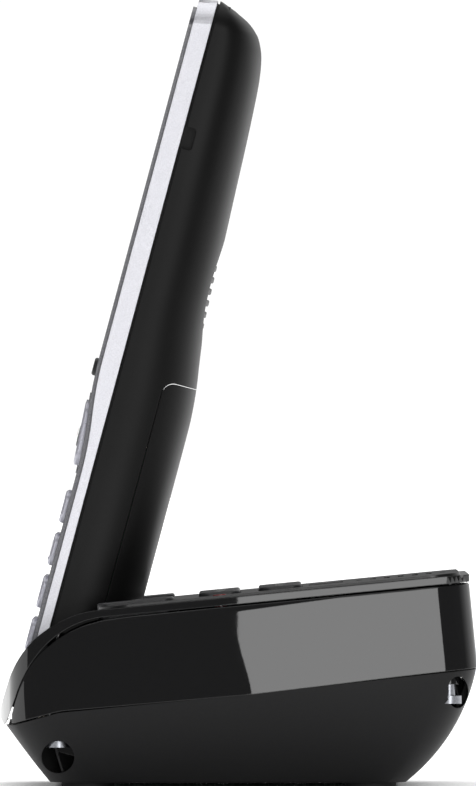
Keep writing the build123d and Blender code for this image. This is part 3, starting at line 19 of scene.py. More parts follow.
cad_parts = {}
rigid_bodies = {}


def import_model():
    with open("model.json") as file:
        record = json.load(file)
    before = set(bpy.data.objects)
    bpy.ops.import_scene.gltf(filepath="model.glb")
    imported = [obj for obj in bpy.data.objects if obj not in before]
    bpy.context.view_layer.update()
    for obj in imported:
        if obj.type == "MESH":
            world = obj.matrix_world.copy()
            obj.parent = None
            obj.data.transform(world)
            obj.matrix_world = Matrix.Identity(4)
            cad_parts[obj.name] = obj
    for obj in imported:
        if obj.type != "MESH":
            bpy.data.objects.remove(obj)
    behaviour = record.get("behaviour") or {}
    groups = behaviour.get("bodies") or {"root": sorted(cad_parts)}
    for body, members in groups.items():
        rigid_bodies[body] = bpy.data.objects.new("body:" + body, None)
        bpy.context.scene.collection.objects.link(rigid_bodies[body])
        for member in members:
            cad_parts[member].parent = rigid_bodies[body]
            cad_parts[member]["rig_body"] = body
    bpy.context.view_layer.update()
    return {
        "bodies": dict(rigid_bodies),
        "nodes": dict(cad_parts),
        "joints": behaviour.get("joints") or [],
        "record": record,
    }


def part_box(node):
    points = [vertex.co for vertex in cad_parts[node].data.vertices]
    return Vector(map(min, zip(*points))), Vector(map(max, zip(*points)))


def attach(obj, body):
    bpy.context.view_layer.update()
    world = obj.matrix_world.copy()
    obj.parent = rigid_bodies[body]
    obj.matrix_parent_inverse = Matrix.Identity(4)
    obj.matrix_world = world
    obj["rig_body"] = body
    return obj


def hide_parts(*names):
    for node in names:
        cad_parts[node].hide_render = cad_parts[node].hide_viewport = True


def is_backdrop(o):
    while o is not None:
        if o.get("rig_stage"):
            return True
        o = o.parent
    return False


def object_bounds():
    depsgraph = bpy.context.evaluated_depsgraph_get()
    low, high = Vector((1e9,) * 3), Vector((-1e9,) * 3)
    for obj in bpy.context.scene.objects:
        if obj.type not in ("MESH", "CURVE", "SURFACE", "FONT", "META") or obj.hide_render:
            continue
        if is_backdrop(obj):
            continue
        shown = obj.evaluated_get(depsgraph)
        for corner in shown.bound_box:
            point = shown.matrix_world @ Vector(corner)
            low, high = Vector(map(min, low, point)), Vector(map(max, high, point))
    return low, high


LOG = logging.getLogger("cordless_phone")
MM = 0.001
# A CAD strip counts as drawn out along an axis when its normal leans to the axis by less than this.
SQUARE_ON = 0.004
# Corners of a CAD copy closer than this, seen down the axis, are one place.
SAME_PLACE_MM = 3e-3


class Body(str, Enum):
    """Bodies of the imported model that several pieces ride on."""

    BASE = "base"
    HANDSET = "handset"
    DOOR = "battery_door"


# --------------------------------------------------------------------------------------
# Colours and shader nodes
# --------------------------------------------------------------------------------------
def srgb(code: str, alpha: float = 1.0) -> tuple[float, float, float, float]:
    """Turn an sRGB hex colour to linear light.

    Args:
        code: Six hex digits, with or without a leading #.
        alpha: Opacity to carry along.

    Returns:
        Linear red, green, blue and alpha.
    """
    text = code.lstrip("#")
    parts = [int(text[place : place + 2], 16) / 255 for place in (0, 2, 4)]
    linear = [part / 12.92 if part <= 0.04045 else ((part + 0.055) / 1.055) ** 2.4 for part in parts]
    return linear[0], linear[1], linear[2], alpha


def per_mm(size_mm: float) -> float:
    """Texture scale whose cells are size_mm across on Object coordinates in metres."""
    return 1.0 / (size_mm * MM)


def add_node(tree: bpy.types.NodeTree, kind: str, links: dict[Any, Any], **settings: Any) -> bpy.types.Node:
    """Add one node to a tree, with its settings, values and links.

    Args:
        tree: Node tree to add to.
        kind: Blender's name of the node type.
        links: Input name or number to a value, or to the output socket that feeds it.
        **settings: Properties of the node itself.

    Returns:
        The new node.
    """
    node = tree.nodes.new(kind)
    for name, value in settings.items():
        setattr(node, name, value)
    for key, value in links.items():
        if isinstance(value, bpy.types.NodeSocket):
            tree.links.new(value, node.inputs[key])
        else:
            node.inputs[key].default_value = value
    return node


def new_material(name: str) -> tuple[bpy.types.Material, bpy.types.NodeTree, bpy.types.Node]:
    """Start an empty material.

    Args:
        name: Name of the real finish.

    Returns:
        The material, its tree and the Principled shader already joined to the output.
    """
    material = bpy.data.materials.new(name)
    material.use_nodes = True
    tree = material.node_tree
    tree.nodes.clear()
    shader = add_node(tree, "ShaderNodeBsdfPrincipled", {})
    add_node(tree, "ShaderNodeOutputMaterial", {"Surface": shader.outputs["BSDF"]})
    return material, tree, shader


def object_place(tree: bpy.types.NodeTree) -> bpy.types.NodeSocket:
    """Object coordinates, in metres."""
    return add_node(tree, "ShaderNodeTexCoord", {}).outputs["Object"]


def noise(tree: bpy.types.NodeTree, place: bpy.types.NodeSocket, size_mm: float,
          detail: float) -> bpy.types.NodeSocket:
    """Noise whose cells are size_mm across."""
    links = {"Vector": place, "Scale": per_mm(size_mm), "Detail": detail}
    return add_node(tree, "ShaderNodeTexNoise", links).outputs["Fac"]


def mixed(tree: bpy.types.NodeTree, share: bpy.types.NodeSocket, first: str, second: str) -> bpy.types.NodeSocket:
    """Colour between two sRGB hex colours."""
    links = {0: share, 6: srgb(first), 7: srgb(second)}
    return add_node(tree, "ShaderNodeMix", links, data_type="RGBA").outputs[2]


def ranged(tree: bpy.types.NodeTree, value: bpy.types.NodeSocket, low: float, high: float) -> bpy.types.NodeSocket:
    """Value from 0 to 1, stretched between low and high."""
    return add_node(tree, "ShaderNodeMapRange", {"Value": value, 3: low, 4: high}).outputs["Result"]


def bumped(tree: bpy.types.NodeTree, height: bpy.types.NodeSocket, depth_mm: float,
           edge_mm: float = 0.0) -> bpy.types.NodeSocket:
    """Shading normal of a texture depth_mm high, over edges rounded by edge_mm."""
    links = {"Height": height, "Distance": depth_mm * MM, "Strength": 1.0}
    if edge_mm:
        links["Normal"] = add_node(tree, "ShaderNodeBevel", {"Radius": edge_mm * MM}, samples=4).outputs["Normal"]
    return add_node(tree, "ShaderNodeBump", links).outputs["Normal"]


def fill(tree: bpy.types.NodeTree, shader: bpy.types.Node, inputs: dict[str, Any]) -> None:
    """Give a shader its inputs, each a value or the socket that feeds it."""
    for name, value in inputs.items():
        if isinstance(value, bpy.types.NodeSocket):
            tree.links.new(value, shader.inputs[name])
        else:
            shader.inputs[name].default_value = value


@dataclass(frozen=True)
class MouldedPlastic:
    """Injection-moulded plastic, from mirror polish to a spark-eroded grain.

    Attributes:
        name: Name of the finish.
        dark: Colour in the grain's hollows, darker there as painted shade of the grain's relief.
        light: Colour on its tops, lighter there as painted light on the grain's relief.
        roughness: Middle roughness of the skin.
        grain_mm: Size of one grain of the mould's texture.
        grain_depth_mm: Height of that grain.
        wave_mm: Size of the slow waviness that a moulded wall keeps.
        edge_mm: Rounding that catches light along every edge.
        ior: Refractive index; a fine grain that scatters its gloss is given a lower one.
        coat: Weight of a clear gloss over it.
    """

    name: str
    dark: str
    light: str
    roughness: float
    grain_mm: float = 0.6
    grain_depth_mm: float = 0.02
    wave_mm: float = 30.0
    edge_mm: float = 0.2
    ior: float = 1.53
    coat: float = 0.0

    def make(self) -> bpy.types.Material:
        """Build the material: colour that follows the grain's relief, with painted shade in its hollows, uneven
        roughness, and rounded edges under the bump.
        """
        material, tree, shader = new_material(self.name)
        place = object_place(tree)
        grain = noise(tree, place, self.grain_mm, 3.0)
        wave = noise(tree, place, self.wave_mm, 2.0)
        fill(tree, shader, {
            # Painted shade: the grain noise that raises the bump also darkens the colour where the bump is low
            "Base Color": mixed(tree, grain, self.dark, self.light),
            "Roughness": ranged(tree, wave, self.roughness * 0.85, self.roughness * 1.15),
            "Normal": bumped(tree, grain, self.grain_depth_mm, self.edge_mm),
            "IOR": self.ior, "Coat Weight": self.coat, "Coat Roughness": 0.08,
        })
        return material


@dataclass(frozen=True)
class FlakeLacquer:
    """Silver lacquer: aluminium flakes in a clear binder, sprayed over ABS."""

    name: str
    colour: str
    flake: str
    roughness: float
    flake_mm: float = 0.22
    metallic: float = 0.7
    coat: float = 0.25
    edge_mm: float = 0.2
    tilt_mm: float = 0.012

    def make(self) -> bpy.types.Material:
        """Build the material: cells a fifth of a millimetre across, each tipped its own way, and each painted lighter
        or darker as a stand-in for its sparkle.
        """
        material, tree, shader = new_material(self.name)
        cells = {"Vector": object_place(tree), "Scale": per_mm(self.flake_mm)}
        flakes = add_node(tree, "ShaderNodeTexVoronoi", cells)
        value = add_node(tree, "ShaderNodeSeparateColor", {"Color": flakes.outputs["Color"]}).outputs[0]
        fill(tree, shader, {
            # Painted sparkle: each flake cell is coloured lighter or darker, on top of the real tilt that the bump
            # gives it
            "Base Color": mixed(tree, value, self.colour, self.flake),
            "Roughness": ranged(tree, value, self.roughness * 0.8, self.roughness * 1.2),
            "Normal": bumped(tree, value, self.tilt_mm, self.edge_mm),
            "Metallic": self.metallic, "Coat Weight": self.coat, "Coat Roughness": 0.12,
        })
        return material


@dataclass(frozen=True)
class BareMetal:
    """Metal with fine drawn or turned lines and a little tarnish."""

    name: str
    colour: str
    tarnish: str
    roughness: float
    line_mm: float = 0.15
    patch_mm: float = 2.5
    line_depth_mm: float = 0.004

    def make(self) -> bpy.types.Material:
        """Build the material: lines stretched along X, and tarnish in slow patches."""
        material, tree, shader = new_material(self.name)
        place = object_place(tree)
        drawn = add_node(tree, "ShaderNodeMapping", {"Vector": place, "Scale": (0.05, 1.0, 1.0)})
        lines = noise(tree, drawn.outputs[0], self.line_mm, 2.0)
        patches = noise(tree, place, self.patch_mm, 4.0)
        fill(tree, shader, {
            "Base Color": mixed(tree, patches, self.colour, self.tarnish),
            "Roughness": ranged(tree, lines, self.roughness * 0.7, self.roughness * 1.3),
            "Normal": bumped(tree, lines, self.line_depth_mm),
            "Metallic": 1.0,
        })
        return material


@dataclass(frozen=True)
class ClearPlastic:
    """Clear moulded acrylic over something, lightly tinted."""

    name: str
    tint: str
    alpha: float
    haze_mm: float = 12.0

    def make(self) -> bpy.types.Material:
        """Build the material: glossy, mostly see-through, with a trace of moulding haze."""
        material, tree, shader = new_material(self.name)
        haze = noise(tree, object_place(tree), self.haze_mm, 2.0)
        fill(tree, shader, {
            "Base Color": srgb(self.tint), "Roughness": ranged(tree, haze, 0.02, 0.06),
            "IOR": 1.49, "Alpha": self.alpha,
        })
        return material


class Finish(Enum):
    """Every finish on the phone, named for the record's material slot that it answers to."""

    # Mirror-polished ABS: black depth with crisp reflections and only a slow waviness.
    base_gloss_black = MouldedPlastic("Polished black ABS", "#0a0a0b", "#0d0d0e", 0.008, 0.8, 0.00005, 40.0, 0.25)
    # Satin ABS: the deck's etched mould leaves a soft, even sheen.
    deck_satin_black = MouldedPlastic("Satin black ABS", "#111112", "#171718", 0.3, 0.5, 0.004, 30.0, 0.2)
    # Spark-eroded ABS: fine grain that scatters light; drawn a little coarser than it is.
    hull_matt_black = MouldedPlastic(
        "Spark-textured black ABS", "#0c0c0d", "#131314", 0.42, 0.55, 0.01, 30.0, 0.3, 1.3
    )
    # Fine satin ABS: the handset's back, with a softer sheen than the base's deck.
    shell_black = MouldedPlastic("Fine satin dark ABS", "#0d0d0d", "#131313", 0.42, 0.5, 0.003, 35.0, 0.25, 1.25)
    silver_paint = FlakeLacquer("Silver flake lacquer", "#d4d4da", "#e8e8ee", 0.42, 0.16)
    key_silver = FlakeLacquer("Silver coated polycarbonate keys", "#b4b4bf", "#c6c6d0", 0.34, 0.14, 0.5)
    facia_dark = FlakeLacquer("Dark grey pearl lacquer", "#56565a", "#6c6c70", 0.32, 0.16, 0.5, 0.6)
    key_dark = MouldedPlastic("Matt dark grey polycarbonate keys", "#1d1d1f", "#2a2a2c", 0.42, 0.4, 0.004)
    # Rubber and silicone: no gloss, faint mould marks.
    rubber = MouldedPlastic("Moulded black rubber", "#141414", "#1f1f1e", 0.75, 0.7, 0.02)
    mat_rubber = MouldedPlastic("Grey silicone rubber", "#77777a", "#858588", 0.6, 0.8, 0.01)
    display_module = MouldedPlastic("Display polariser", "#8f9c8e", "#98a597", 0.35, 1.2, 0.0005)
    circuit_board = MouldedPlastic("Green solder mask", "#10482a", "#185a35", 0.35, 0.9, 0.006, 20.0, 0.1, 1.5, 0.5)
    speaker_frame = MouldedPlastic("Black lacquered steel basket", "#101011", "#19191a", 0.35, 0.9, 0.003)
    jack_plastic = MouldedPlastic("Black glass-filled nylon", "#131313", "#1c1c1c", 0.5, 0.6, 0.01)
    lamp_lens = MouldedPlastic("Diffusing red lens", "#8e1410", "#a31b14", 0.15, 1.0, 0.001, 10.0, 0.3, 1.49, 0.6)
    cell_jacket = MouldedPlastic("Green shrink sleeve", "#1d5a3d", "#266b49", 0.28, 1.5, 0.003, 15.0, 0.2, 1.5, 0.4)
    screw_steel = BareMetal("Zinc-plated steel", "#a9abb0", "#8d8f95", 0.3)
    contact_metal = BareMetal("Nickel-plated spring strip", "#cfc8ba", "#b9b09f", 0.22)
    antenna_brass = BareMetal("Bare brass strip", "#c39a52", "#a27f40", 0.3)
    ballast_iron = BareMetal("Cast iron ballast", "#55534f", "#45423d", 0.6, 0.5)
    window_acrylic = ClearPlastic("Clear acrylic window", "#15171a", 0.22)
    # Near-black painted shade for the bottom of deep recesses: the same ABS, coloured almost black to stand in for
    # the shade where next to no light comes back.
    recess = MouldedPlastic("Painted shade for recesses in black ABS", "#020202", "#040404", 0.8, 0.6, 0.01)
    # Printing ink: flat, very slightly raised.
    ink_dark = MouldedPlastic("Dark grey key printing", "#2b2b30", "#34343a", 0.55, 0.3, 0.001)
    ink_light = MouldedPlastic("White key printing", "#d8d8d6", "#e4e4e2", 0.55, 0.3, 0.001)
    ink_green = MouldedPlastic("Green key printing", "#2c8a4a", "#379a56", 0.5, 0.3, 0.001)
    ink_red = MouldedPlastic("Red key printing", "#a8231c", "#b93026", 0.5, 0.3, 0.001)


class FinishShelf:
    """Makes each finish once and hands out the same material after that."""

    def __init__(self) -> None:
        """Start with nothing made."""
        self._made: dict[Finish, bpy.types.Material] = {}

    def get(self, finish: Finish) -> bpy.types.Material:
        """Return the finish's material, made the first time it is asked for."""
        if finish not in self._made:
            self._made[finish] = finish.value.make()
        return self._made[finish]


# --------------------------------------------------------------------------------------
# Meshes
# --------------------------------------------------------------------------------------
class Workshop:
    """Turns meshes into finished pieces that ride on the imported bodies."""

    def __init__(self, frame: dict[str, Any]) -> None:
        """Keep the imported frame, the shelf of finishes and which slot each node has."""
        self.frame = frame
        self.shelf = FinishShelf()
        self.slots = {part["node"]: part["material_slot"] for part in frame["record"]["subparts"]}
        self.pieces = 0
        axis = {joint["name"]: Vector(joint["axis"]) for joint in frame["joints"]}
        up = axis["handset_lift"].normalized()
        across = Vector((1, 0, 0))
        self.face = Facing(across, up, across.cross(up))
        deck_up = -axis["play_key_press"].normalized()
        self.deck = Facing(across, deck_up.cross(across), deck_up)
        self.axes = (Vector((0, 0, 1)), across, self.face.out, up, deck_up)

    def dress(self, piece: bpy.types.Object, finish: Finish) -> None:
        """Put one finish on a whole piece."""
        piece.data.materials.clear()
        piece.data.materials.append(self.shelf.get(finish))

    def mount(self, name: str, mesh: bpy.types.Mesh, finish: Finish, body: str, *nodes: str) -> bpy.types.Object:
        """Make a piece of a mesh that is already in place.

        Args:
            name: Name of the piece.
            mesh: Its mesh, in metres, in the row frame.
            finish: What it is made of.
            body: Body that it moves with.
            *nodes: CAD nodes that it stands for.

        Returns:
            The piece.
        """
        piece = bpy.data.objects.new(name, mesh)
        bpy.context.scene.collection.objects.link(piece)
        self.dress(piece, finish)
        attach(piece, body)
        if nodes:
            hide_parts(*nodes)
        self.pieces += 1
        LOG.info("%s rides on %s", name, body)
        return piece

    def skin(self, node: str, finish: Finish, angle: float = 28.0) -> bpy.types.Object:
        """Stand a merged, smooth-shaded copy of a CAD node in for it.

        Args:
            node: CAD node to copy.
            finish: What it is made of.
            angle: Degrees past which an edge stays sharp.

        Returns:
            The piece.
        """
        source = self.frame["nodes"][node]
        mesh = source.data.copy()
        shape = bmesh.new()
        shape.from_mesh(mesh)
        bmesh.ops.remove_doubles(shape, verts=shape.verts, dist=0.002 * MM)
        shape.to_mesh(mesh)
        shape.free()
        smooth(mesh, angle)
        level_normals(mesh, self.axes, angle)
        return self.mount(f"{node}.skin", mesh, finish, source["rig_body"], node)


def smooth(mesh: bpy.types.Mesh, angle: float) -> None:
    """Shade a mesh smooth except across edges sharper than angle degrees."""
    mesh.polygons.foreach_set("use_smooth", [True] * len(mesh.polygons))
    mesh.set_sharp_from_angle(angle=math.radians(angle))
    mesh.update()


def flow(places: list[np.ndarray], steps: int) -> list[np.ndarray]:
    """Run a smooth line through places, with a number of steps between each pair."""
    padded = [places[0], *places, places[-1]]
    line = []
    for before, here, there, after in zip(padded, padded[1:], padded[2:], padded[3:]):
        for step in range(steps):
            t = step / steps
            line.append(
                0.5 * (2 * here + (there - before) * t + (2 * before - 5 * here + 4 * there - after) * t**2
                       + (3 * here - before - 3 * there + after) * t**3)
            )
    return [*line, places[-1]]


def band(shape: bmesh.types.BMesh, here: list[Any], there: list[Any], skip: int = -1) -> None:
    """Close the band between two loops of equally many corners, but for the one numbered skip."""
    for place in range(len(here)):
        after = (place + 1) % len(here)
        if place != skip:
            shape.faces.new([here[place], there[place], there[after], here[after]])


def add_block(shape: bmesh.types.BMesh, low: Vector, high: Vector) -> None:
    """Add a rectangular solid between two corners."""
    place = Matrix.Translation((low + high) / 2) @ Matrix.Diagonal((*(high - low), 1.0))
    bmesh.ops.create_cube(shape, size=1.0, matrix=place)


def bored(work: bpy.types.Object, cutter: bpy.types.Object, kind: str = "DIFFERENCE",
          solver: str = "MANIFOLD") -> None:
    """Cut a piece with a solid, by a modifier."""
    bite = work.modifiers.new("Bite", "BOOLEAN")
    bite.operation, bite.solver, bite.object = kind, solver, cutter


def finished(shape: bmesh.types.BMesh, name: str) -> bpy.types.Mesh:
    """Turn a finished shape into a mesh."""
    mesh = bpy.data.meshes.new(name)
    shape.to_mesh(mesh)
    shape.free()
    return mesh


def tree_inputs(tree: bpy.types.NodeTree, sockets: dict[str, str]) -> bpy.types.Node:
    """Give a geometry tree its named inputs and one geometry output, and return its input node."""
    tree.interface.new_socket("Geometry", in_out="OUTPUT", socket_type="NodeSocketGeometry")
    for name, kind in sockets.items():
        tree.interface.new_socket(name, in_out="INPUT", socket_type=f"NodeSocket{kind}")
    return tree.nodes.new("NodeGroupInput")


def end_tree(tree: bpy.types.NodeTree, shape: bpy.types.NodeSocket, material: bpy.types.NodeSocket) -> None:
    """End a geometry tree with real geometry in its material."""
    real = add_node(tree, "GeometryNodeRealizeInstances", {"Geometry": shape})
    dressed = add_node(tree, "GeometryNodeSetMaterial", {"Geometry": real.outputs[0], "Material": material})
    add_node(tree, "NodeGroupOutput", {0: dressed.outputs[0]})


def grown(tree: bpy.types.NodeTree, values: dict[str, Any]) -> bpy.types.Mesh:
    """Run a geometry tree with its inputs set by identifier, and return the plain mesh it makes."""
    host = linked(bpy.data.meshes.new("host"))
    modifier = host.modifiers.new("Grow", "NODES")
    modifier.node_group = tree
    for item in tree.interface.items_tree:
        if item.item_type == "SOCKET" and item.in_out == "INPUT":
            modifier[item.identifier] = values[item.name]
    mesh = baked(host)
    bpy.data.objects.remove(host)
    return mesh


def maths(tree: bpy.types.NodeTree, operation: str, first: Any, second: Any = 0.0) -> bpy.types.NodeSocket:
    """One sum in a geometry tree."""
    return add_node(tree, "ShaderNodeMath", {0: first, 1: second}, operation=operation).outputs[0]


def slat_tree() -> bpy.types.NodeTree:
    """Slats that fill a circle, inside a ring, all bent over a crown.

    Returns:
        A tree with the inputs Radius, Bars, Pitch, Bar Width, Bar Depth, Crown and Material.
    """
    tree = bpy.data.node_groups.new("Slats in a ring", "GeometryNodeTree")
    given = tree_inputs(tree, {
        "Radius": "Float", "Bars": "Int", "Pitch": "Float", "Bar Width": "Float", "Bar Depth": "Float",
        "Crown": "Float", "Material": "Material",
    }).outputs
    half_pitch = maths(tree, "MULTIPLY", given["Pitch"], -0.5)
    start = maths(tree, "MULTIPLY", maths(tree, "SUBTRACT", given["Bars"], 1.0), half_pitch)
    first = add_node(tree, "ShaderNodeCombineXYZ", {"Y": start})
    step = add_node(tree, "ShaderNodeCombineXYZ", {"Y": given["Pitch"]})
    row = add_node(
        tree, "GeometryNodeMeshLine",
        {"Count": given["Bars"], "Start Location": first.outputs[0], "Offset": step.outputs[0]},
    )
    place = add_node(tree, "GeometryNodeInputPosition", {})
    up = add_node(tree, "ShaderNodeSeparateXYZ", {0: place.outputs[0]}).outputs["Y"]
    square = maths(tree, "SUBTRACT", maths(tree, "POWER", given["Radius"], 2.0), maths(tree, "MULTIPLY", up, up))
    reach = maths(tree, "SQRT", maths(tree, "MAXIMUM", square, 0.01))
    size = add_node(tree, "ShaderNodeCombineXYZ", {"X": reach, "Y": 1.0, "Z": 1.0})
    bar = add_node(tree, "GeometryNodeCurvePrimitiveLine", {"Start": (-1, 0, 0), "End": (1, 0, 0)})
    bars = add_node(
        tree, "GeometryNodeInstanceOnPoints",
        {"Points": row.outputs[0], "Instance": bar.outputs[0], "Scale": size.outputs[0]},
    )
    ring = add_node(tree, "GeometryNodeCurvePrimitiveCircle", {"Radius": given["Radius"], "Resolution": 96})
    fine = add_node(
        tree, "GeometryNodeResampleCurve",
        {"Curve": add_node(tree, "GeometryNodeRealizeInstances", {0: bars.outputs[0]}).outputs[0], "Count": 25},
    )
    lines = add_node(tree, "GeometryNodeJoinGeometry", {})
    tree.links.new(fine.outputs[0], lines.inputs[0])
    tree.links.new(ring.outputs[0], lines.inputs[0])
    across = add_node(tree, "ShaderNodeSeparateXYZ", {0: place.outputs[0]}).outputs["X"]
    twice = maths(tree, "MULTIPLY", given["Crown"], -2.0)
    fall = maths(tree, "DIVIDE", maths(tree, "MULTIPLY", across, across), twice)
    drop = add_node(tree, "ShaderNodeCombineXYZ", {"Z": fall})
    bent = add_node(tree, "GeometryNodeSetPosition", {"Geometry": lines.outputs[0], "Offset": drop.outputs[0]})
    profile = add_node(
        tree, "GeometryNodeCurvePrimitiveQuadrilateral", {"Width": given["Bar Width"], "Height": given["Bar Depth"]}
    )
    round_off = add_node(
        tree, "GeometryNodeFilletCurve", {"Curve": profile.outputs[0], "Radius": 0.35, "Count": 3}, mode="POLY"
    )
    solid = add_node(
        tree, "GeometryNodeCurveToMesh",
        {"Curve": bent.outputs[0], "Profile Curve": round_off.outputs[0], "Fill Caps": True},
    )
    end_tree(tree, solid.outputs[0], given["Material"])
    return tree


def rib_tree() -> bpy.types.NodeTree:
    """A thin rib repeated in the four corner wells.

    Returns:
        A tree with the inputs Front, Rear, Half Span, Size, Lean and Material.
    """
    tree = bpy.data.node_groups.new("Ribs in the wells", "GeometryNodeTree")
    given = tree_inputs(tree, {
        "Front": "Vector", "Rear": "Vector", "Half Span": "Float", "Size": "Vector", "Lean": "Float",
        "Material": "Material",
    }).outputs
    pair = add_node(
        tree, "GeometryNodeMeshLine", {"Count": 2, "Start Location": given["Front"], "Offset": given["Rear"]},
        mode="END_POINTS",
    )
    right = add_node(tree, "ShaderNodeCombineXYZ", {"X": given["Half Span"]})
    left = add_node(tree, "ShaderNodeCombineXYZ", {"X": maths(tree, "MULTIPLY", given["Half Span"], -1.0)})
    points = add_node(tree, "GeometryNodeJoinGeometry", {})
    for side in (right, left):
        moved = add_node(tree, "GeometryNodeTransform", {"Geometry": pair.outputs[0], "Translation": side.outputs[0]})
        tree.links.new(moved.outputs[0], points.inputs[0])
    plate = add_node(tree, "GeometryNodeMeshCube", {"Size": given["Size"]})
    turn = add_node(tree, "ShaderNodeCombineXYZ", {"X": given["Lean"]})
    ribs = add_node(
        tree, "GeometryNodeInstanceOnPoints",
        {"Points": points.outputs[0], "Instance": plate.outputs[0], "Rotation": turn.outputs[0]},
    )
    end_tree(tree, ribs.outputs[0], given["Material"])
    return tree


def linked(mesh: bpy.types.Mesh) -> bpy.types.Object:
    """Put a mesh in the scene as a tool for cutting."""
    tool = bpy.data.objects.new("tool", mesh)
    bpy.context.scene.collection.objects.link(tool)
    tool.hide_render = True
    return tool


def closed(shape: bmesh.types.BMesh) -> bpy.types.Object:
    """Turn a finished outline solid into a cutting tool."""
    bmesh.ops.recalc_face_normals(shape, faces=shape.faces)
    return linked(finished(shape, "tool"))


def drawn_block(outline: list[tuple[float, float]], half: float, middle: float = 0.0) -> bpy.types.Object:
    """Solid drawn out along X from an outline of (y, z) places."""
    shape = bmesh.new()
    ends = [[shape.verts.new((middle + side * half, y, z)) for y, z in outline] for side in (-1, 1)]
    for here, there in zip(range(len(outline)), [*range(1, len(outline)), 0]):
        shape.faces.new([ends[0][here], ends[0][there], ends[1][there], ends[1][here]])
    for end in ends:
        shape.faces.new(end)
    return closed(shape)


def drawn_disc(radius: float, middle: float, low: float, high: float) -> bpy.types.Object:
    """Upright round solid about the point (0, middle)."""
    shape = bmesh.new()
    bmesh.ops.create_cone(
        shape, cap_ends=True, segments=96, radius1=radius, radius2=radius, depth=high - low,
        matrix=Matrix.Translation((0, middle, (low + high) / 2)),
    )
    return closed(shape)


def block(low: Vector, high: Vector) -> bpy.types.Object:
    """Rectangular solid between two corners."""
    shape = bmesh.new()
    add_block(shape, low, high)
    return closed(shape)


def baked(piece: bpy.types.Object) -> bpy.types.Mesh:
    """The piece's mesh with its modifiers applied."""
    bpy.context.view_layer.update()
    evaluated = piece.evaluated_get(bpy.context.evaluated_depsgraph_get())
    return bpy.data.meshes.new_from_object(evaluated)


def level_normals(mesh: bpy.types.Mesh, axes: tuple[Vector, ...], angle: float) -> None:
    """Give every drawn-out surface of a CAD copy the shading normals of its true curve.

    A surface drawn out along an axis is a row of flat strips seen down that axis. Where two
    strips meet within the angle, their shared normal leans to the shorter, as a smooth curve's does.

    Args:
        mesh: Triangle mesh, already shaded smooth by angle.
        axes: Directions that surfaces may be drawn out along.
        angle: Degrees past which a joint between strips stays sharp.
    """
    points = np.empty(len(mesh.vertices) * 3)
    mesh.vertices.foreach_get("co", points)
    points = points.reshape(-1, 3)
    corners = np.empty(len(mesh.loops), int)
    mesh.loops.foreach_get("vertex_index", corners)
    corners = corners.reshape(-1, 3)
    facing = np.empty(len(mesh.polygons) * 3)
    mesh.polygons.foreach_get("normal", facing)
    facing = facing.reshape(-1, 3)
    shaded = np.array([corner.vector for corner in mesh.corner_normals]).reshape(-1, 3, 3)
    limit = math.cos(math.radians(angle))
    for axis in axes:
        first = axis.orthogonal().normalized()
        basis = np.array([first, axis.cross(first)])
        strips = np.nonzero(np.abs(facing @ np.array(axis)) < SQUARE_ON)[0]
        flat = points @ basis.T
        keys = [tuple(key) for key in np.round(flat / (SAME_PLACE_MM * MM)).astype(int)]
        turned = facing @ basis.T
        meeting: dict[tuple[int, int], dict[Any, tuple[np.ndarray, float]]] = {}
        for strip in strips:
            ends = corners[strip]
            pairs = [(ends[0], ends[1]), (ends[1], ends[2]), (ends[2], ends[0])]
            low, high = max(pairs, key=lambda pair: float(np.sum((flat[pair[0]] - flat[pair[1]]) ** 2)))
            length = float(np.linalg.norm(flat[low] - flat[high]))
            if length < 1e-7:
                continue
            name = frozenset((keys[low], keys[high]))
            for end in ends:
                meeting.setdefault(keys[end], {})[name] = (turned[strip], length)
        for strip in strips:
            for slot, end in enumerate(corners[strip]):
                near = [
                    (normal, length)
                    for normal, length in meeting.get(keys[end], {}).values()
                    if float(normal @ turned[strip]) > limit
                ]
                if not near:
                    continue
                longest = max(length for _, length in near)
                even = longest <= 3 * min(length for _, length in near)
                kept = [pair for pair in near if even or pair[1] == longest]
                total = sum(normal / length for normal, length in kept)
                normal = total @ basis
                shaded[strip, slot] = normal / np.linalg.norm(normal)
    mesh.normals_split_custom_set(shaded.reshape(-1, 3))


@dataclass(frozen=True)
class Facing:
    """Axes of a tilted face of the phone: across it, up it and out of it."""

    across: Vector
    up: Vector
    out: Vector

    def place(self, origin: Vector) -> Matrix:
        """Matrix that lays a flat drawing on the face with its middle at origin."""
        turn = Matrix((self.across, self.up, self.out)).transposed()
        return Matrix.Translation(origin) @ turn.to_4x4()

    def limits(self, node: bpy.types.Object) -> tuple[Vector, Vector]:
        """Lowest and highest place of a node along the three axes."""
        points = np.array([vertex.co for vertex in node.data.vertices])
        axes = np.array([self.across, self.up, self.out])
        local = points @ axes.T
        return Vector(local.min(0)), Vector(local.max(0))

    def point(self, local: tuple[float, float, float] | Vector) -> Vector:
        """Row-frame place of a point given along the three axes."""
        return self.across * local[0] + self.up * local[1] + self.out * local[2]


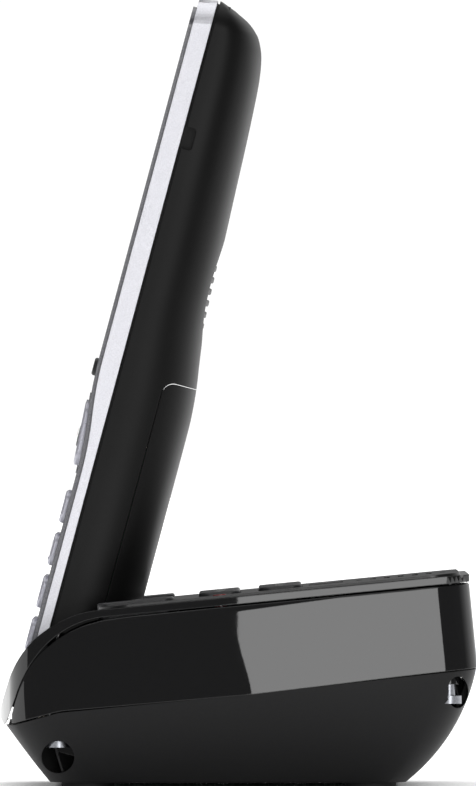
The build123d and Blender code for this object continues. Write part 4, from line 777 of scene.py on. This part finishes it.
# --------------------------------------------------------------------------------------
# Studio
# --------------------------------------------------------------------------------------
@dataclass(frozen=True)
class Studio:
    """Plain floor, soft light and the camera beside the phone."""

    camera_distance: float = 4.4
    frame_height: float = 0.1796
    eye_height: float = 0.0895
    aim_y: float = 0.0001
    sensor: float = 36.0
    silk_energy: float = 1.45
    silk_angle: float = 75.0
    seen_strength: float = 1.05
    dim_strength: float = 0.2
    floor_reach: float = 12.0
    floor_near: float = 0.25
    floor_glow: float = 0.72
    shadow_reach: float = 0.05
    shadow_power: float = 0.9

    def camera(self) -> None:
        """Put a long lens level with the middle of the phone, square to its side."""
        data = bpy.data.cameras.new("Camera")
        data.sensor_width = self.sensor
        data.lens = self.sensor * self.camera_distance / self.frame_height
        data.clip_end = 30.0
        camera = bpy.data.objects.new("Camera", data)
        camera.location = (self.camera_distance, self.aim_y, self.eye_height)
        camera.rotation_euler = (math.radians(90), 0, math.radians(90))
        bpy.context.scene.collection.objects.link(camera)
        bpy.context.scene.camera = camera

    def lamp(self, name: str, place: tuple[float, float, float], aim: tuple[float, float, float],
             size: tuple[float, float], radiance: float) -> None:
        """Hang one softbox.

        Args:
            name: Name of the light.
            place: Middle of its face.
            aim: Point that it faces.
            size: Width and height of its face.
            radiance: Brightness of the face itself.
        """
        data = bpy.data.lights.new(name, "AREA")
        data.shape = "RECTANGLE"
        data.size, data.size_y = size
        data.energy = radiance * math.pi * size[0] * size[1]
        lamp = bpy.data.objects.new(name, data)
        lamp.location = place
        lamp.rotation_euler = (Vector(place) - Vector(aim)).to_track_quat("Z", "Y").to_euler()
        lamp.visible_camera = False
        bpy.context.scene.collection.objects.link(lamp)

    def sun(self) -> None:
        """Light floor and phone evenly from overhead, as a ceiling of silk would."""
        data = bpy.data.lights.new("Overhead silk", "SUN")
        data.energy = self.silk_energy
        data.angle = math.radians(self.silk_angle)
        lamp = bpy.data.objects.new("Overhead silk", data)
        bpy.context.scene.collection.objects.link(lamp)

    def world(self) -> None:
        """White behind the phone and to the eye, dim behind the camera."""
        world = bpy.data.worlds.new("Studio")
        bpy.context.scene.world = world
        world.use_nodes = True
        tree = world.node_tree
        tree.nodes.clear()
        way = add_node(tree, "ShaderNodeTexCoord", {}).outputs["Generated"]
        split = add_node(tree, "ShaderNodeSeparateXYZ", {"Vector": way})
        backdrop = add_node(
            tree, "ShaderNodeMapRange", {"Value": split.outputs["X"], 1: -0.5, 2: 0.1, 3: 0.85, 4: 0.04}
        )
        side = add_node(
            tree, "ShaderNodeMapRange", {"Value": split.outputs["Y"], 1: -0.02, 2: 0.12, 3: 0.04, 4: 1.0}
        )
        glow = add_node(
            tree, "ShaderNodeMath", {0: backdrop.outputs["Result"], 1: side.outputs["Result"]}, operation="MULTIPLY"
        )
        level = add_node(tree, "ShaderNodeMath", {0: glow.outputs[0], 1: self.dim_strength}, operation="MAXIMUM")
        seen = add_node(tree, "ShaderNodeLightPath", {}).outputs["Is Camera Ray"]
        strength = add_node(tree, "ShaderNodeMix", {0: seen, 2: level.outputs[0], 3: self.seen_strength})
        back = add_node(tree, "ShaderNodeBackground", {"Color": (1, 1, 1, 1), "Strength": strength.outputs[0]})
        add_node(tree, "ShaderNodeOutputWorld", {"Surface": back.outputs[0]})

    def floor(self) -> None:
        """Lay the pale floor under the rubber feet; its glow is darkened by ambient occlusion near the phone, a
        painted contact shadow.
        """
        mesh = bpy.data.meshes.new("Floor")
        reach, near = self.floor_reach, self.floor_near
        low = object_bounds()[0][2]
        corners = [(-reach, -reach, low), (near, -reach, low), (near, reach, low), (-reach, reach, low)]
        mesh.from_pydata(corners, [], [(0, 1, 2, 3)])
        floor = bpy.data.objects.new("Floor", mesh)
        bpy.context.scene.collection.objects.link(floor)
        material, tree, shader = new_material("Pale studio floor")
        grain = noise(tree, object_place(tree), 4.0, 2.0)
        # Painted contact shadow: the floor's glow is cut by ambient occlusion near the phone and under its hull
        sky = add_node(tree, "ShaderNodeAmbientOcclusion", {"Distance": self.shadow_reach}, samples=8)
        share = add_node(tree, "ShaderNodeMath", {0: sky.outputs["AO"], 1: self.shadow_power}, operation="POWER")
        lift = add_node(tree, "ShaderNodeMath", {0: share.outputs[0], 1: self.floor_glow}, operation="MULTIPLY")
        fill(tree, shader, {
            "Base Color": mixed(tree, grain, "#f4f4f4", "#f8f8f8"), "Emission Color": (1, 1, 1, 1),
            "Emission Strength": lift.outputs[0], "Roughness": 0.9, "Specular IOR Level": 0.1,
        })
        mesh.materials.append(material)
        floor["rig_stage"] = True

    def build(self) -> None:
        """Build the whole studio."""
        self.camera()
        self.world()
        self.floor()
        self.lamp("Side softbox", (2.5, 0.5, 0.35), (2.0, 0.5, 0.35), (1.0, 1.3), 4.4)
        self.sun()
        bpy.context.scene.view_settings.view_transform = "Standard"


# --------------------------------------------------------------------------------------
# The phone
# --------------------------------------------------------------------------------------
@dataclass
class RearShell:
    """The handset's black back: one crowned form, split into the shell and its battery door.

    Places are (up the handset, depth behind the seam) in millimetres from the top of the seam.
    """

    shop: Workshop
    half_width: float = 23.9
    corner: float = 6.5
    seam: float = 0.6
    top: float = 9.12
    bottom: float = -156.0
    wall: float = 1.45
    fullness: float = 3.0
    door_top: float = -77.8
    door_seam: float = 10.85
    door_corner: float = 2.6
    gap: float = 0.14
    grille_middle: float = -55.3
    grille_radius: float = 12.85
    grille_ends: tuple[float, float] = (-66.0, -44.0)
    grille_sink: float = 0.85
    slats: dict[str, float] = field(default_factory=lambda: {
        "Bars": 9, "Pitch": 2.7, "Bar Width": 1.5, "Bar Depth": 1.3, "Crown": 88.0,
    })
    around: int = 36
    lip_top: float = 8.9
    lip_outline: tuple[tuple[float, float], ...] = ((0.5, 0.05), (0.5, 3.2), (1.3, 3.2), (1.3, 0.05))
    bulkhead: tuple[float, float, float] = (-75.6, -77.2, 1.75)
    bay_blocks: tuple[tuple[tuple[float, float, float], tuple[float, float, float]], ...] = (
        ((-21.8, -154.0, 4.9), (21.8, -77.3, 6.0)), ((-21.8, -154.0, 4.9), (-13.0, -77.3, 10.7)),
        ((13.0, -154.0, 4.9), (21.8, -77.3, 10.7)), ((-13.0, -90.6, 4.9), (13.0, -77.3, 10.7)),
        ((-13.0, -154.0, 4.9), (13.0, -141.8, 10.7)),
    )
    profile: tuple[tuple[float, float], ...] = (
        (9.12, 0.6), (9.1, 1.2), (8.7, 2.4), (8.3, 3.5), (7.9, 4.6), (7.4, 5.6), (6.5, 7.5), (5.5, 9.0),
        (4.4, 10.2), (3.2, 11.2), (0.5, 12.5), (-2.1, 13.2), (-4.8, 13.65), (-7.6, 13.95), (-13.0, 14.3),
        (-21.6, 14.72), (-32.8, 15.15), (-44.0, 15.6), (-55.0, 15.9), (-61.0, 16.1), (-66.5, 16.6),
        (-72.0, 17.35), (-77.4, 18.15), (-83.0, 18.65), (-88.6, 18.82), (-110.0, 18.84), (-156.0, 18.84),
    )

    def origin(self) -> Vector:
        """Row-frame place of the top of the seam, from the frame's own box."""
        nodes = self.shop.frame["nodes"]
        top = self.shop.face.limits(nodes["front_frame"])[1][1]
        lip = self.shop.face.limits(nodes["rear_shell"])[1][2]
        return self.shop.face.point((0.0, top - 9.1 * MM, lip + 0.03 * MM))

    def depth(self, along: float) -> float:
        """Depth of the back at a place up the handset."""
        places = sorted(self.profile)
        return float(np.interp(along, [place[0] for place in places], [place[1] for place in places]))

    def half(self, along: float) -> float:
        """Half the width at a place up the handset, rounded at the ends."""
        reach = max(along - (self.top - self.corner), (self.bottom + self.corner) - along, 0.0)
        return self.half_width - self.corner + math.sqrt(max(self.corner**2 - reach**2, 0.0))

    def section(self, along: float, deep: float, inset: float) -> list[tuple[float, float, float]]:
        """Points of one crowned section, from one side of the seam over the back to the other."""
        half = max(self.half(along) - inset, 0.2)
        rise = max(deep - inset - self.seam, 0.02)
        points = []
        for step in range(2 * self.around + 1):
            turn = math.pi * step / (2 * self.around)
            side = math.copysign(abs(math.cos(turn)) ** (2 / self.fullness), math.cos(turn))
            points.append((half * side, along, self.seam + rise * math.sin(turn) ** (2 / self.fullness)))
        return points

    def form(self) -> bpy.types.Mesh:
        """The whole back as one thin closed shell, open towards the frame."""
        rows = np.array(flow([np.array(place) for place in self.profile], 4))
        shape = bmesh.new()
        grid = []
        for along, deep in rows:
            along = min(max(float(along), self.bottom), self.top)
            grid.append([shape.verts.new(point) for point in self.section(along, float(deep), 0.0)])
        for upper, lower in zip(grid, grid[1:]):
            for place in range(len(upper) - 1):
                shape.faces.new([upper[place], upper[place + 1], lower[place + 1], lower[place]])
        shape.faces.new(grid[-1])
        bmesh.ops.remove_doubles(shape, verts=shape.verts, dist=0.01)
        bmesh.ops.dissolve_degenerate(shape, edges=shape.edges, dist=0.005)
        work = linked(finished(shape, "back_form"))
        thicken = work.modifiers.new("Wall", "SOLIDIFY")
        thicken.thickness = self.wall
        thicken.offset = -1.0
        thicken.use_even_offset = False
        result = baked(work)
        bpy.data.objects.remove(work)
        return result

    def door_cutter(self, grow: float) -> bpy.types.Object:
        """Block whose side outline is the door's, with rounded upper corners."""
        top, seam, corner = self.door_top + grow, self.door_seam - grow, self.door_corner
        outline = [(self.bottom - 5, seam)]
        for step in range(9):
            turn = math.pi / 2 * step / 8
            outline.append((top - corner + corner * math.sin(turn), seam + corner - corner * math.cos(turn)))
        outline += [(top, 30.0), (self.bottom - 5, 30.0)]
        return drawn_block(outline, 30.0)

    def cut(self, mesh: bpy.types.Mesh, cutters: list[tuple[bpy.types.Object, str]]) -> bpy.types.Mesh:
        """Cut a copy of a mesh with several solids in turn."""
        work = linked(mesh.copy())
        for cutter, kind in cutters:
            bored(work, cutter, kind)
        result = baked(work)
        bpy.data.objects.remove(work)
        return result

    def build(self) -> None:
        """Build the rear shell and the battery door."""
        whole = self.form()
        wide, narrow = self.door_cutter(self.gap), self.door_cutter(0.0)
        hole = drawn_disc(self.grille_radius, self.grille_middle, 9.0, 30.0)
        notch = [(-20.6, -1.0), (-20.6, 2.46), (-21.1, 2.96), (-25.1, 2.96), (-25.6, 2.46), (-25.6, -1.0)]
        notches = [drawn_block(notch, 1.2, side * 23.6) for side in (-1, 1)]
        shell = self.cut(whole, [(wide, "DIFFERENCE"), (hole, "DIFFERENCE")] + [(n, "DIFFERENCE") for n in notches])
        door = self.cut(whole, [(narrow, "INTERSECT")])
        for tool in (wide, narrow, hole, *notches):
            bpy.data.objects.remove(tool)
        for name, mesh, body, node in (
            ("rear_shell.crowned", shell, Body.HANDSET, "rear_shell"),
            ("battery_door.crowned", door, Body.DOOR, "battery_door"),
        ):
            self.lay(mesh)
            smooth(mesh, 35.0)
            self.shop.mount(name, mesh, Finish.shell_black, body.value, node)
        # The lip and the bay wear the near-black recess finish: painted shade in the seam groove and behind the
        # battery door
        for name, mesh in (("seam_lip", self.lip()), ("battery_bay", self.bay())):
            self.lay(mesh)
            self.shop.mount(name, mesh, Finish.recess, Body.HANDSET.value)
        self.grille()

    def lip(self) -> bpy.types.Mesh:
        """Inner lip that closes the groove between frame and shell, and backs the side notches."""
        shape = bmesh.new()
        loops = []
        for inset, deep in self.lip_outline:
            half, top, bottom = self.half_width - inset, self.lip_top - inset, self.bottom + inset
            radius = self.corner - inset
            loop = []
            for centre_u, centre_v, start in (
                (half - radius, top - radius, 0), (radius - half, top - radius, 90),
                (radius - half, bottom + radius, 180), (half - radius, bottom + radius, 270),
            ):
                for step in range(9):
                    turn = math.radians(start + 90 * step / 8)
                    place = (centre_u + radius * math.cos(turn), centre_v + radius * math.sin(turn), deep)
                    loop.append(shape.verts.new(place))
            loops.append(loop)
        for here, there in zip(loops, [*loops[1:], loops[0]]):
            band(shape, here, there)
        bmesh.ops.recalc_face_normals(shape, faces=shape.faces)
        return finished(shape, "lip")

    def bay(self) -> bpy.types.Mesh:
        """Battery bay behind the door: a floor under the cells and a bulkhead across its top."""
        shape = bmesh.new()
        *sides, inset = self.bulkhead
        rims = []
        for along in sides:
            rims.append([shape.verts.new(point) for point in self.section(along, self.depth(along), inset)])
        shape.faces.new(rims[0])
        shape.faces.new(rims[1][::-1])
        band(shape, rims[0][::-1], rims[1][::-1])
        for low, high in self.bay_blocks:
            add_block(shape, Vector(low), Vector(high))
        bmesh.ops.recalc_face_normals(shape, faces=shape.faces)
        return finished(shape, "bay")

    def grille(self) -> None:
        """Round grille of the rear loudspeaker: slats that follow the crown of the back."""
        mesh = grown(slat_tree(), {
            "Radius": self.grille_radius - self.slats["Bar Width"] / 2, **self.slats,
            "Material": self.shop.shelf.get(Finish.shell_black),
        })
        low, high = self.grille_ends
        lean = math.atan((self.depth(high) - self.depth(low)) / (high - low))
        deep = self.depth(self.grille_middle) - self.grille_sink
        mesh.transform(Matrix.Translation((0, self.grille_middle, deep)) @ Matrix.Rotation(lean, 4, "X"))
        self.lay(mesh)
        smooth(mesh, 35.0)
        node = "rear_speaker_grille"
        self.shop.mount(f"{node}.slats", mesh, Finish.shell_black, Body.HANDSET.value, node)

    def lay(self, mesh: bpy.types.Mesh) -> None:
        """Turn a mesh drawn as (across, up, deep) in millimetres into its place in the row frame."""
        face = self.shop.face
        turn = Matrix((face.across, face.up, -face.out)).transposed().to_4x4()
        mesh.transform(Matrix.Translation(self.origin()) @ turn @ Matrix.Scale(MM, 4))
        if turn.determinant() < 0:
            mesh.flip_normals()


@dataclass
class Housing:
    """The gloss side wall of the base, drawn along its plan from the rear round to the nose."""

    shop: Workshop
    half_width: float = 48.0
    rear_top: float = 52.5
    rear_bottom: float = 54.35
    rear_corner: float = 9.0
    wall: float = 2.0
    edge: float = 0.45
    deck_drop: float = 2.7
    crease_rear: float = 27.4
    rear_height: float = 46.0
    deck_height: float = 44.05
    deck_slope: float = 5.52
    deck_start: float = -24.0
    crease_front: tuple[float, float] = (-40.4, 17.5)
    nose: tuple[float, float] = (43.0, -50.0)
    upper_line: tuple[tuple[float, float], ...] = (
        (-51.25, 15.6), (-50.95, 17.0), (-50.1, 20.3), (-49.2, 23.1), (-48.2, 25.5), (-47.0, 27.6), (-45.7, 29.4),
        (-43.9, 31.3), (-41.2, 33.6), (-38.3, 35.4), (-34.6, 37.0), (-30.0, 38.2),
    )

    def top(self, y: float) -> float:
        """Height of the wall's upper edge at a place from front to rear."""
        deck, slope = self.deck_height - self.deck_drop, math.tan(math.radians(self.deck_slope))
        if y > self.deck_start:
            return deck + y * slope
        line = list(self.upper_line) + [(self.deck_start, deck + self.deck_start * slope)]
        return float(np.interp(y, [place[0] for place in line], [place[1] for place in line]))

    def crease(self, y: float) -> float:
        """Height of the crease where the wall meets the hull."""
        places = [-50.5, self.crease_front[0], self.rear_bottom]
        return float(np.interp(y, places, [14.7, self.crease_front[1], self.crease_rear]))

    def bow_start(self, z: float) -> float:
        """Where the side starts to draw in towards the front: a little further back lower down."""
        fall = min(max((40.1 - z) / 16.7, 0.0), 1.0)
        return -5.4 + 8.4 * fall**1.5

    def station(self, share: float, z: float, inset: float = 0.0) -> tuple[float, float]:
        """Place on the plan's right half: 0 is the middle of the rear, 1 the front corner's end."""
        rise = (z - self.crease_rear) / (self.rear_height - self.crease_rear)
        rear = self.rear_bottom + (self.rear_top - self.rear_bottom) * rise
        rear = min(rear, self.rear_bottom) - inset
        half, corner = self.half_width - inset, self.rear_corner - inset
        if share < 0.2:
            return (half - corner) * share / 0.2, rear
        if share < 0.35:
            turn = math.pi / 2 * (share - 0.2) / 0.15
            return half - corner + corner * math.sin(turn), rear - corner + corner * math.cos(turn)
        start = self.bow_start(z)
        if share < 0.5:
            return half, rear - corner + (start - rear + corner) * (share - 0.35) / 0.15
        reach, bend = -42.0, (48.0 - self.nose[0]) / (start - self.nose[1]) ** 2
        if share < 0.8:
            y = start + (reach - start) * (share - 0.5) / 0.3
            return half - bend * (start - y) ** 2, y
        radius = 13.0 - inset
        side = half - bend * (start - reach) ** 2
        lean = math.atan(2 * bend * (start - reach))
        turn = lean + (math.pi / 2 - 0.2 - lean) * (share - 0.8) / 0.2
        return side - radius * (math.cos(lean) - math.cos(turn)), reach - radius * (math.sin(turn) - math.sin(lean))

    def build(self) -> None:
        """Draw the wall as a grid with a rounded upper edge and an inner face, then open the sockets."""
        shares = np.concatenate(
            [np.linspace(0, 0.2, 8), np.linspace(0.2, 0.35, 24)[1:], np.linspace(0.35, 0.5, 14)[1:],
             np.linspace(0.5, 0.8, 40)[1:], np.linspace(0.8, 1.0, 30)[1:]]
        )
        levels = [0.0, 0.04, 0.12, 0.25, 0.4, 0.55, 0.7, 0.85, 0.95]
        turns = [math.pi / 2 * step / 5 for step in range(6)]
        columns = []
        for share in shares:
            middle = self.station(share, 34.0)[1]
            if middle < -51.2:
                break
            column = []
            low = self.crease(middle)
            high = max(self.top(middle), low + 0.6)
            edge = min(self.edge, (high - low) / 2)
            for level in levels:
                z = low + (high - edge - low) * level
                column.append((*self.station(share, z), z))
            for turn in turns:
                z = high - edge + edge * math.sin(turn)
                column.append((*self.station(share, z, edge * (1 - math.cos(turn))), z))
            column.append((*self.station(share, high, self.wall), high))
            column.append((*self.station(share, low, self.wall), low))
            columns.append(column)
        shape = bmesh.new()
        for mirror in (1, -1):
            grid = [[shape.verts.new((mirror * x, y, z)) for x, y, z in column] for column in columns]
            for here, there in zip(grid, grid[1:]):
                band(shape, here, there)
            shape.faces.new(grid[-1])
        bmesh.ops.remove_doubles(shape, verts=shape.verts, dist=0.001)
        bmesh.ops.recalc_face_normals(shape, faces=shape.faces)
        mesh = finished(shape, "housing_form")
        mesh.transform(Matrix.Scale(MM, 4))
        work = linked(mesh)
        cutters = []
        for node in ("power_jack", "line_socket"):
            low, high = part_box(node)
            room = Vector((1, 8, 1)) * 0.2 * MM
            cutters.append(block(low - room, high + room))
            bored(work, cutters[-1], solver="EXACT")
        result = baked(work)
        for tool in (work, *cutters):
            bpy.data.objects.remove(tool)
        smooth(result, 30.0)
        self.shop.mount("side_housing.wall", result, Finish.base_gloss_black, Body.BASE.value, "side_housing")


@dataclass
class Hull:
    """The matt tub under the wall: one smooth bowl from the crease down to a narrow floor."""

    shop: Workshop
    wall: Housing
    floor: float = 1.1
    floor_half: float = 31.7
    floor_reach: tuple[float, float] = (-42.6, 38.3)
    floor_corner: float = 9.0
    radius: float = 44.0
    centre: float = 35.9
    thick: float = 2.0
    nose: tuple[float, float] = (-52.4, 13.6)
    bore_length: float = 30.0
    back_margin: float = 0.4
    back_gap: float = 4.0
    back_thick: float = 2.0
    # Each well: its place from front to rear, height, radius, depth in from the middle, and how much taller.
    wells: tuple[tuple[float, ...], ...] = ((-40.7, 7.0, 3.7, 27.0, 1.0), (49.8, 21.8, 2.4, 30.0, 1.5))

    def rim(self) -> list[tuple[float, float, float]]:
        """Right half of the hull's upper edge, from the middle of the rear to the nose."""
        places = []
        for share in np.linspace(0, 1, 120):
            y = self.wall.station(share, 27.0)[1]
            low = self.wall.crease(y) - 0.3
            places.append((*self.wall.station(share, low, 0.3), low))
        x, y, z = places[-1]
        for share in np.linspace(0, 1, 22)[1:]:
            way = share**0.5
            places.append((x * (1 - share), y + (self.nose[0] - y) * way, z + (self.nose[1] - z) * way))
        return places

    def foot(self, share: float) -> tuple[float, float]:
        """Place on the right half of the floor outline, a share of the way along it."""
        front, rear = self.floor_reach
        half, corner = self.floor_half, self.floor_corner
        if share < 0.2:
            return (half - corner) * share / 0.2, rear
        if share < 0.35:
            turn = math.pi / 2 * (share - 0.2) / 0.15
            return half - corner + corner * math.sin(turn), rear - corner + corner * math.cos(turn)
        if share < 0.7:
            return half, rear - corner + (front - rear + 2 * corner) * (share - 0.35) / 0.35
        if share < 0.85:
            turn = math.pi / 2 * (share - 0.7) / 0.15
            return half - corner + corner * math.cos(turn), front + corner - corner * math.sin(turn)
        return (half - corner) * (1.0 - share) / 0.15, front

    def fall(self, top: float, z: float, straight: float) -> float:
        """How far in the surface has come at a height: an arc at the sides and rear, a line at the front."""
        levels = (top, z, self.floor)
        arc = [self.radius - math.sqrt(self.radius**2 - (self.centre - level) ** 2) for level in levels]
        return (1 - straight) * (arc[1] - arc[0]) / (arc[2] - arc[0]) + straight * (top - z) / (top - self.floor)

    def column(self, place: tuple[float, float, float], share: float) -> list[tuple[float, float, float]]:
        """One strip of the hull from its upper edge down to the floor, then up the inside."""
        x, y, top = place
        foot = self.foot(share)
        straight = min(max((share - 0.7) / 0.2, 0.0), 1.0)
        outer, inner = [], []
        for step in np.linspace(0, 1, 18):
            z = top + (self.floor - top) * step
            way = self.fall(top, z, straight)
            outer.append((x + (foot[0] - x) * way, y + (foot[1] - y) * way, z))
        for px, py, pz in outer[::-1]:
            size = math.hypot(px, py - 2.0)
            keep = 1 - min(self.thick / max(size, 0.1), 0.9)
            inner.append((px * keep, 2.0 + (py - 2.0) * keep, max(pz, self.floor + self.thick)))
        return outer + inner

    def build(self) -> None:
        """Draw the bowl, bore the four corner wells and stand a rib in each."""
        rim = self.rim()
        shape = bmesh.new()
        columns = [self.column(place, step / (len(rim) - 1)) for step, place in enumerate(rim)]
        mirrored = [[(-x, y, z) for x, y, z in column] for column in columns[1:-1]][::-1]
        grid = [[shape.verts.new(point) for point in column] for column in columns + mirrored]
        half = len(grid[0]) // 2
        for here, there in zip(grid, [*grid[1:], grid[0]]):
            band(shape, here, there, skip=half - 1)
        shape.faces.new([column[half - 1] for column in grid])
        shape.faces.new([column[half] for column in grid][::-1])
        bmesh.ops.recalc_face_normals(shape, faces=shape.faces)
        mesh = finished(shape, "hull_form")
        mesh.transform(Matrix.Scale(MM, 4))
        work = linked(mesh)
        cutters, backs = [], bmesh.new()
        lay_down = Matrix.Rotation(math.pi / 2, 4, "Y")
        for y, z, radius, deep, tall in self.wells:
            wide, back = radius * MM, (radius + self.back_margin) * MM
            for side in (1, -1):
                bore = bmesh.new()
                middle = Matrix.Translation(Vector((side * (deep + self.bore_length / 2), y, z)) * MM)
                bmesh.ops.create_cone(
                    bore, cap_ends=True, segments=48, radius1=wide, radius2=wide, depth=self.bore_length * MM,
                    matrix=middle @ lay_down @ Matrix.Diagonal((tall, 1, 1, 1)),
                )
                cutters.append(linked(finished(bore, "bore")))
                bored(work, cutters[-1])
                behind = Matrix.Translation(Vector((side * (deep - self.back_gap), y, z)) * MM)
                bmesh.ops.create_cone(
                    backs, cap_ends=True, segments=32, radius1=back, radius2=back, depth=self.back_thick * MM,
                    matrix=behind @ lay_down,
                )
        result = baked(work)
        for tool in (work, *cutters):
            bpy.data.objects.remove(tool)
        smooth(result, 32.0)
        finish = Finish[self.shop.slots["bottom_shell"]]
        self.shop.mount("bottom_shell.tub", result, finish, Body.BASE.value, "bottom_shell")
        # Discs behind the bores in the near-black recess finish: painted shade at the bottom of the wells
        self.shop.mount("well_backs", finished(backs, "backs"), Finish.recess, Body.BASE.value)
        ribs = grown(rib_tree(), {
            "Front": Vector((0, *self.wells[0][:2])), "Rear": Vector((0, *self.wells[1][:2])), "Half Span": 29.5,
            "Size": Vector((5.0, 0.5, 7.0)), "Lean": math.radians(17), "Material": self.shop.shelf.get(finish),
        })
        ribs.transform(Matrix.Scale(MM, 4))
        self.shop.mount("well_ribs", ribs, finish, Body.BASE.value)


@dataclass
class Legends:
    """Generic printing on the keys: digits, signs and plain pictograms."""

    shop: Workshop
    lift: float = 0.03
    sink: float = 0.01
    digit_size: float = 4.6
    sign_size: float = 4.0
    digits: dict[str, str] = field(default_factory=lambda: {
        **{f"key_{digit}": str(digit) for digit in range(10)}, "key_star": "*", "key_hash": "#",
    })
    signs: dict[str, str] = field(default_factory=lambda: {
        "volume_down_key": "-", "volume_up_key": "+", "erase_key": "x", "locate_key": "o",
    })
    pictures: dict[str, tuple[tuple[tuple[float, float], ...], ...]] = field(default_factory=lambda: {
        "play_key": (((-1.2, -1.4), (1.4, 0), (-1.2, 1.4)),),
        "skip_forward_key": (((-1.8, -1.2), (0, 0), (-1.8, 1.2)), ((0.1, -1.2), (1.9, 0), (0.1, 1.2))),
        "skip_back_key": (((1.8, -1.2), (1.8, 1.2), (0, 0)), ((-0.1, -1.2), (-0.1, 1.2), (-1.9, 0))),
        "answer_key": (((-1.1, -1.1), (1.1, -1.1), (1.1, 1.1), (-1.1, 1.1)),),
    })

    def seat(self, node: str, facing: Facing) -> Matrix:
        """Placement on the middle of a key's face, in millimetres across, up and out."""
        low, high = facing.limits(self.shop.frame["nodes"][node])
        middle = (low + high) / 2
        return facing.place(facing.point((middle[0], middle[1], high[2] - self.sink * MM))) @ Matrix.Scale(MM, 4)

    def lettering(self, text: str, size: float) -> bpy.types.Mesh:
        """Letters of a plain built-in face, centred, in millimetres."""
        curve = bpy.data.curves.new("letters", "FONT")
        curve.body, curve.size, curve.extrude = text, size, self.lift
        curve.align_x, curve.align_y, curve.resolution_u = "CENTER", "CENTER", 4
        letters = bpy.data.objects.new("letters", curve)
        bpy.context.scene.collection.objects.link(letters)
        mesh = baked(letters)
        bpy.data.objects.remove(letters)
        return mesh

    def picture(self, shapes: tuple[tuple[tuple[float, float], ...], ...]) -> bpy.types.Mesh:
        """Flat pictogram made of outlines, in millimetres."""
        shape = bmesh.new()
        for outline in shapes:
            low = [shape.verts.new((x, y, 0)) for x, y in outline]
            high = [shape.verts.new((x, y, self.lift)) for x, y in outline]
            shape.faces.new(low[::-1])
            shape.faces.new(high)
            for place, after in zip(range(len(low)), [*range(1, len(low)), 0]):
                shape.faces.new([low[place], low[after], high[after], high[place]])
        bmesh.ops.recalc_face_normals(shape, faces=shape.faces)
        return finished(shape, "picture")

    def handset(self, turn: float) -> tuple[tuple[tuple[float, float], ...], ...]:
        """Pictogram of a receiver: an arc between two pads, turned by some degrees."""
        arc = [(1.9 * math.cos(a), 1.9 * math.sin(a) - 0.9) for a in np.linspace(0.5, math.pi - 0.5, 12)]
        under = [(1.2 * math.cos(a), 1.2 * math.sin(a) - 0.9) for a in np.linspace(math.pi - 0.7, 0.7, 12)]
        pads = [(-2.0, -0.9), (-0.9, -0.9)], [(0.9, -0.9), (2.0, -0.9)]
        swing = Matrix.Rotation(math.radians(turn), 2)
        return (tuple(tuple(swing @ Vector(place)) for place in [*arc, *pads[0], *under, *pads[1]]),)

    def build(self) -> None:
        """Print every key."""
        shop = self.shop
        prints = [
            (node, self.lettering(text, self.digit_size), shop.face, Finish.ink_dark)
            for node, text in self.digits.items()
        ]
        prints += [
            (node, self.lettering(text, self.sign_size), shop.deck, Finish.ink_light)
            for node, text in self.signs.items()
        ]
        prints += [(node, self.picture(parts), shop.deck, Finish.ink_light) for node, parts in self.pictures.items()]
        for node, turn, ink in (("talk_key", 45.0, Finish.ink_green), ("end_key", 0.0, Finish.ink_red)):
            prints.append((node, self.picture(self.handset(turn)), shop.face, ink))
        for node, mesh, facing, ink in prints:
            mesh.transform(self.seat(node, facing))
            shop.mount(f"{node}.print", mesh, ink, shop.frame["nodes"][node]["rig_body"])


def main() -> None:
    """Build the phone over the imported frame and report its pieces."""
    logging.basicConfig(level=logging.INFO, format="%(message)s")
    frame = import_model()
    shop = Workshop(frame)
    Studio().build()
    RearShell(shop).build()
    Housing(shop).build()
    Hull(shop, Housing(shop)).build()
    Legends(shop).build()
    done = {"rear_shell", "battery_door", "side_housing", "rear_speaker_grille", "bottom_shell"}
    for node in frame["nodes"]:
        if node not in done:
            shop.skin(node, Finish[shop.slots[node]])
    LOG.info("%d pieces", shop.pieces)


if __name__ == "__main__":
    main()
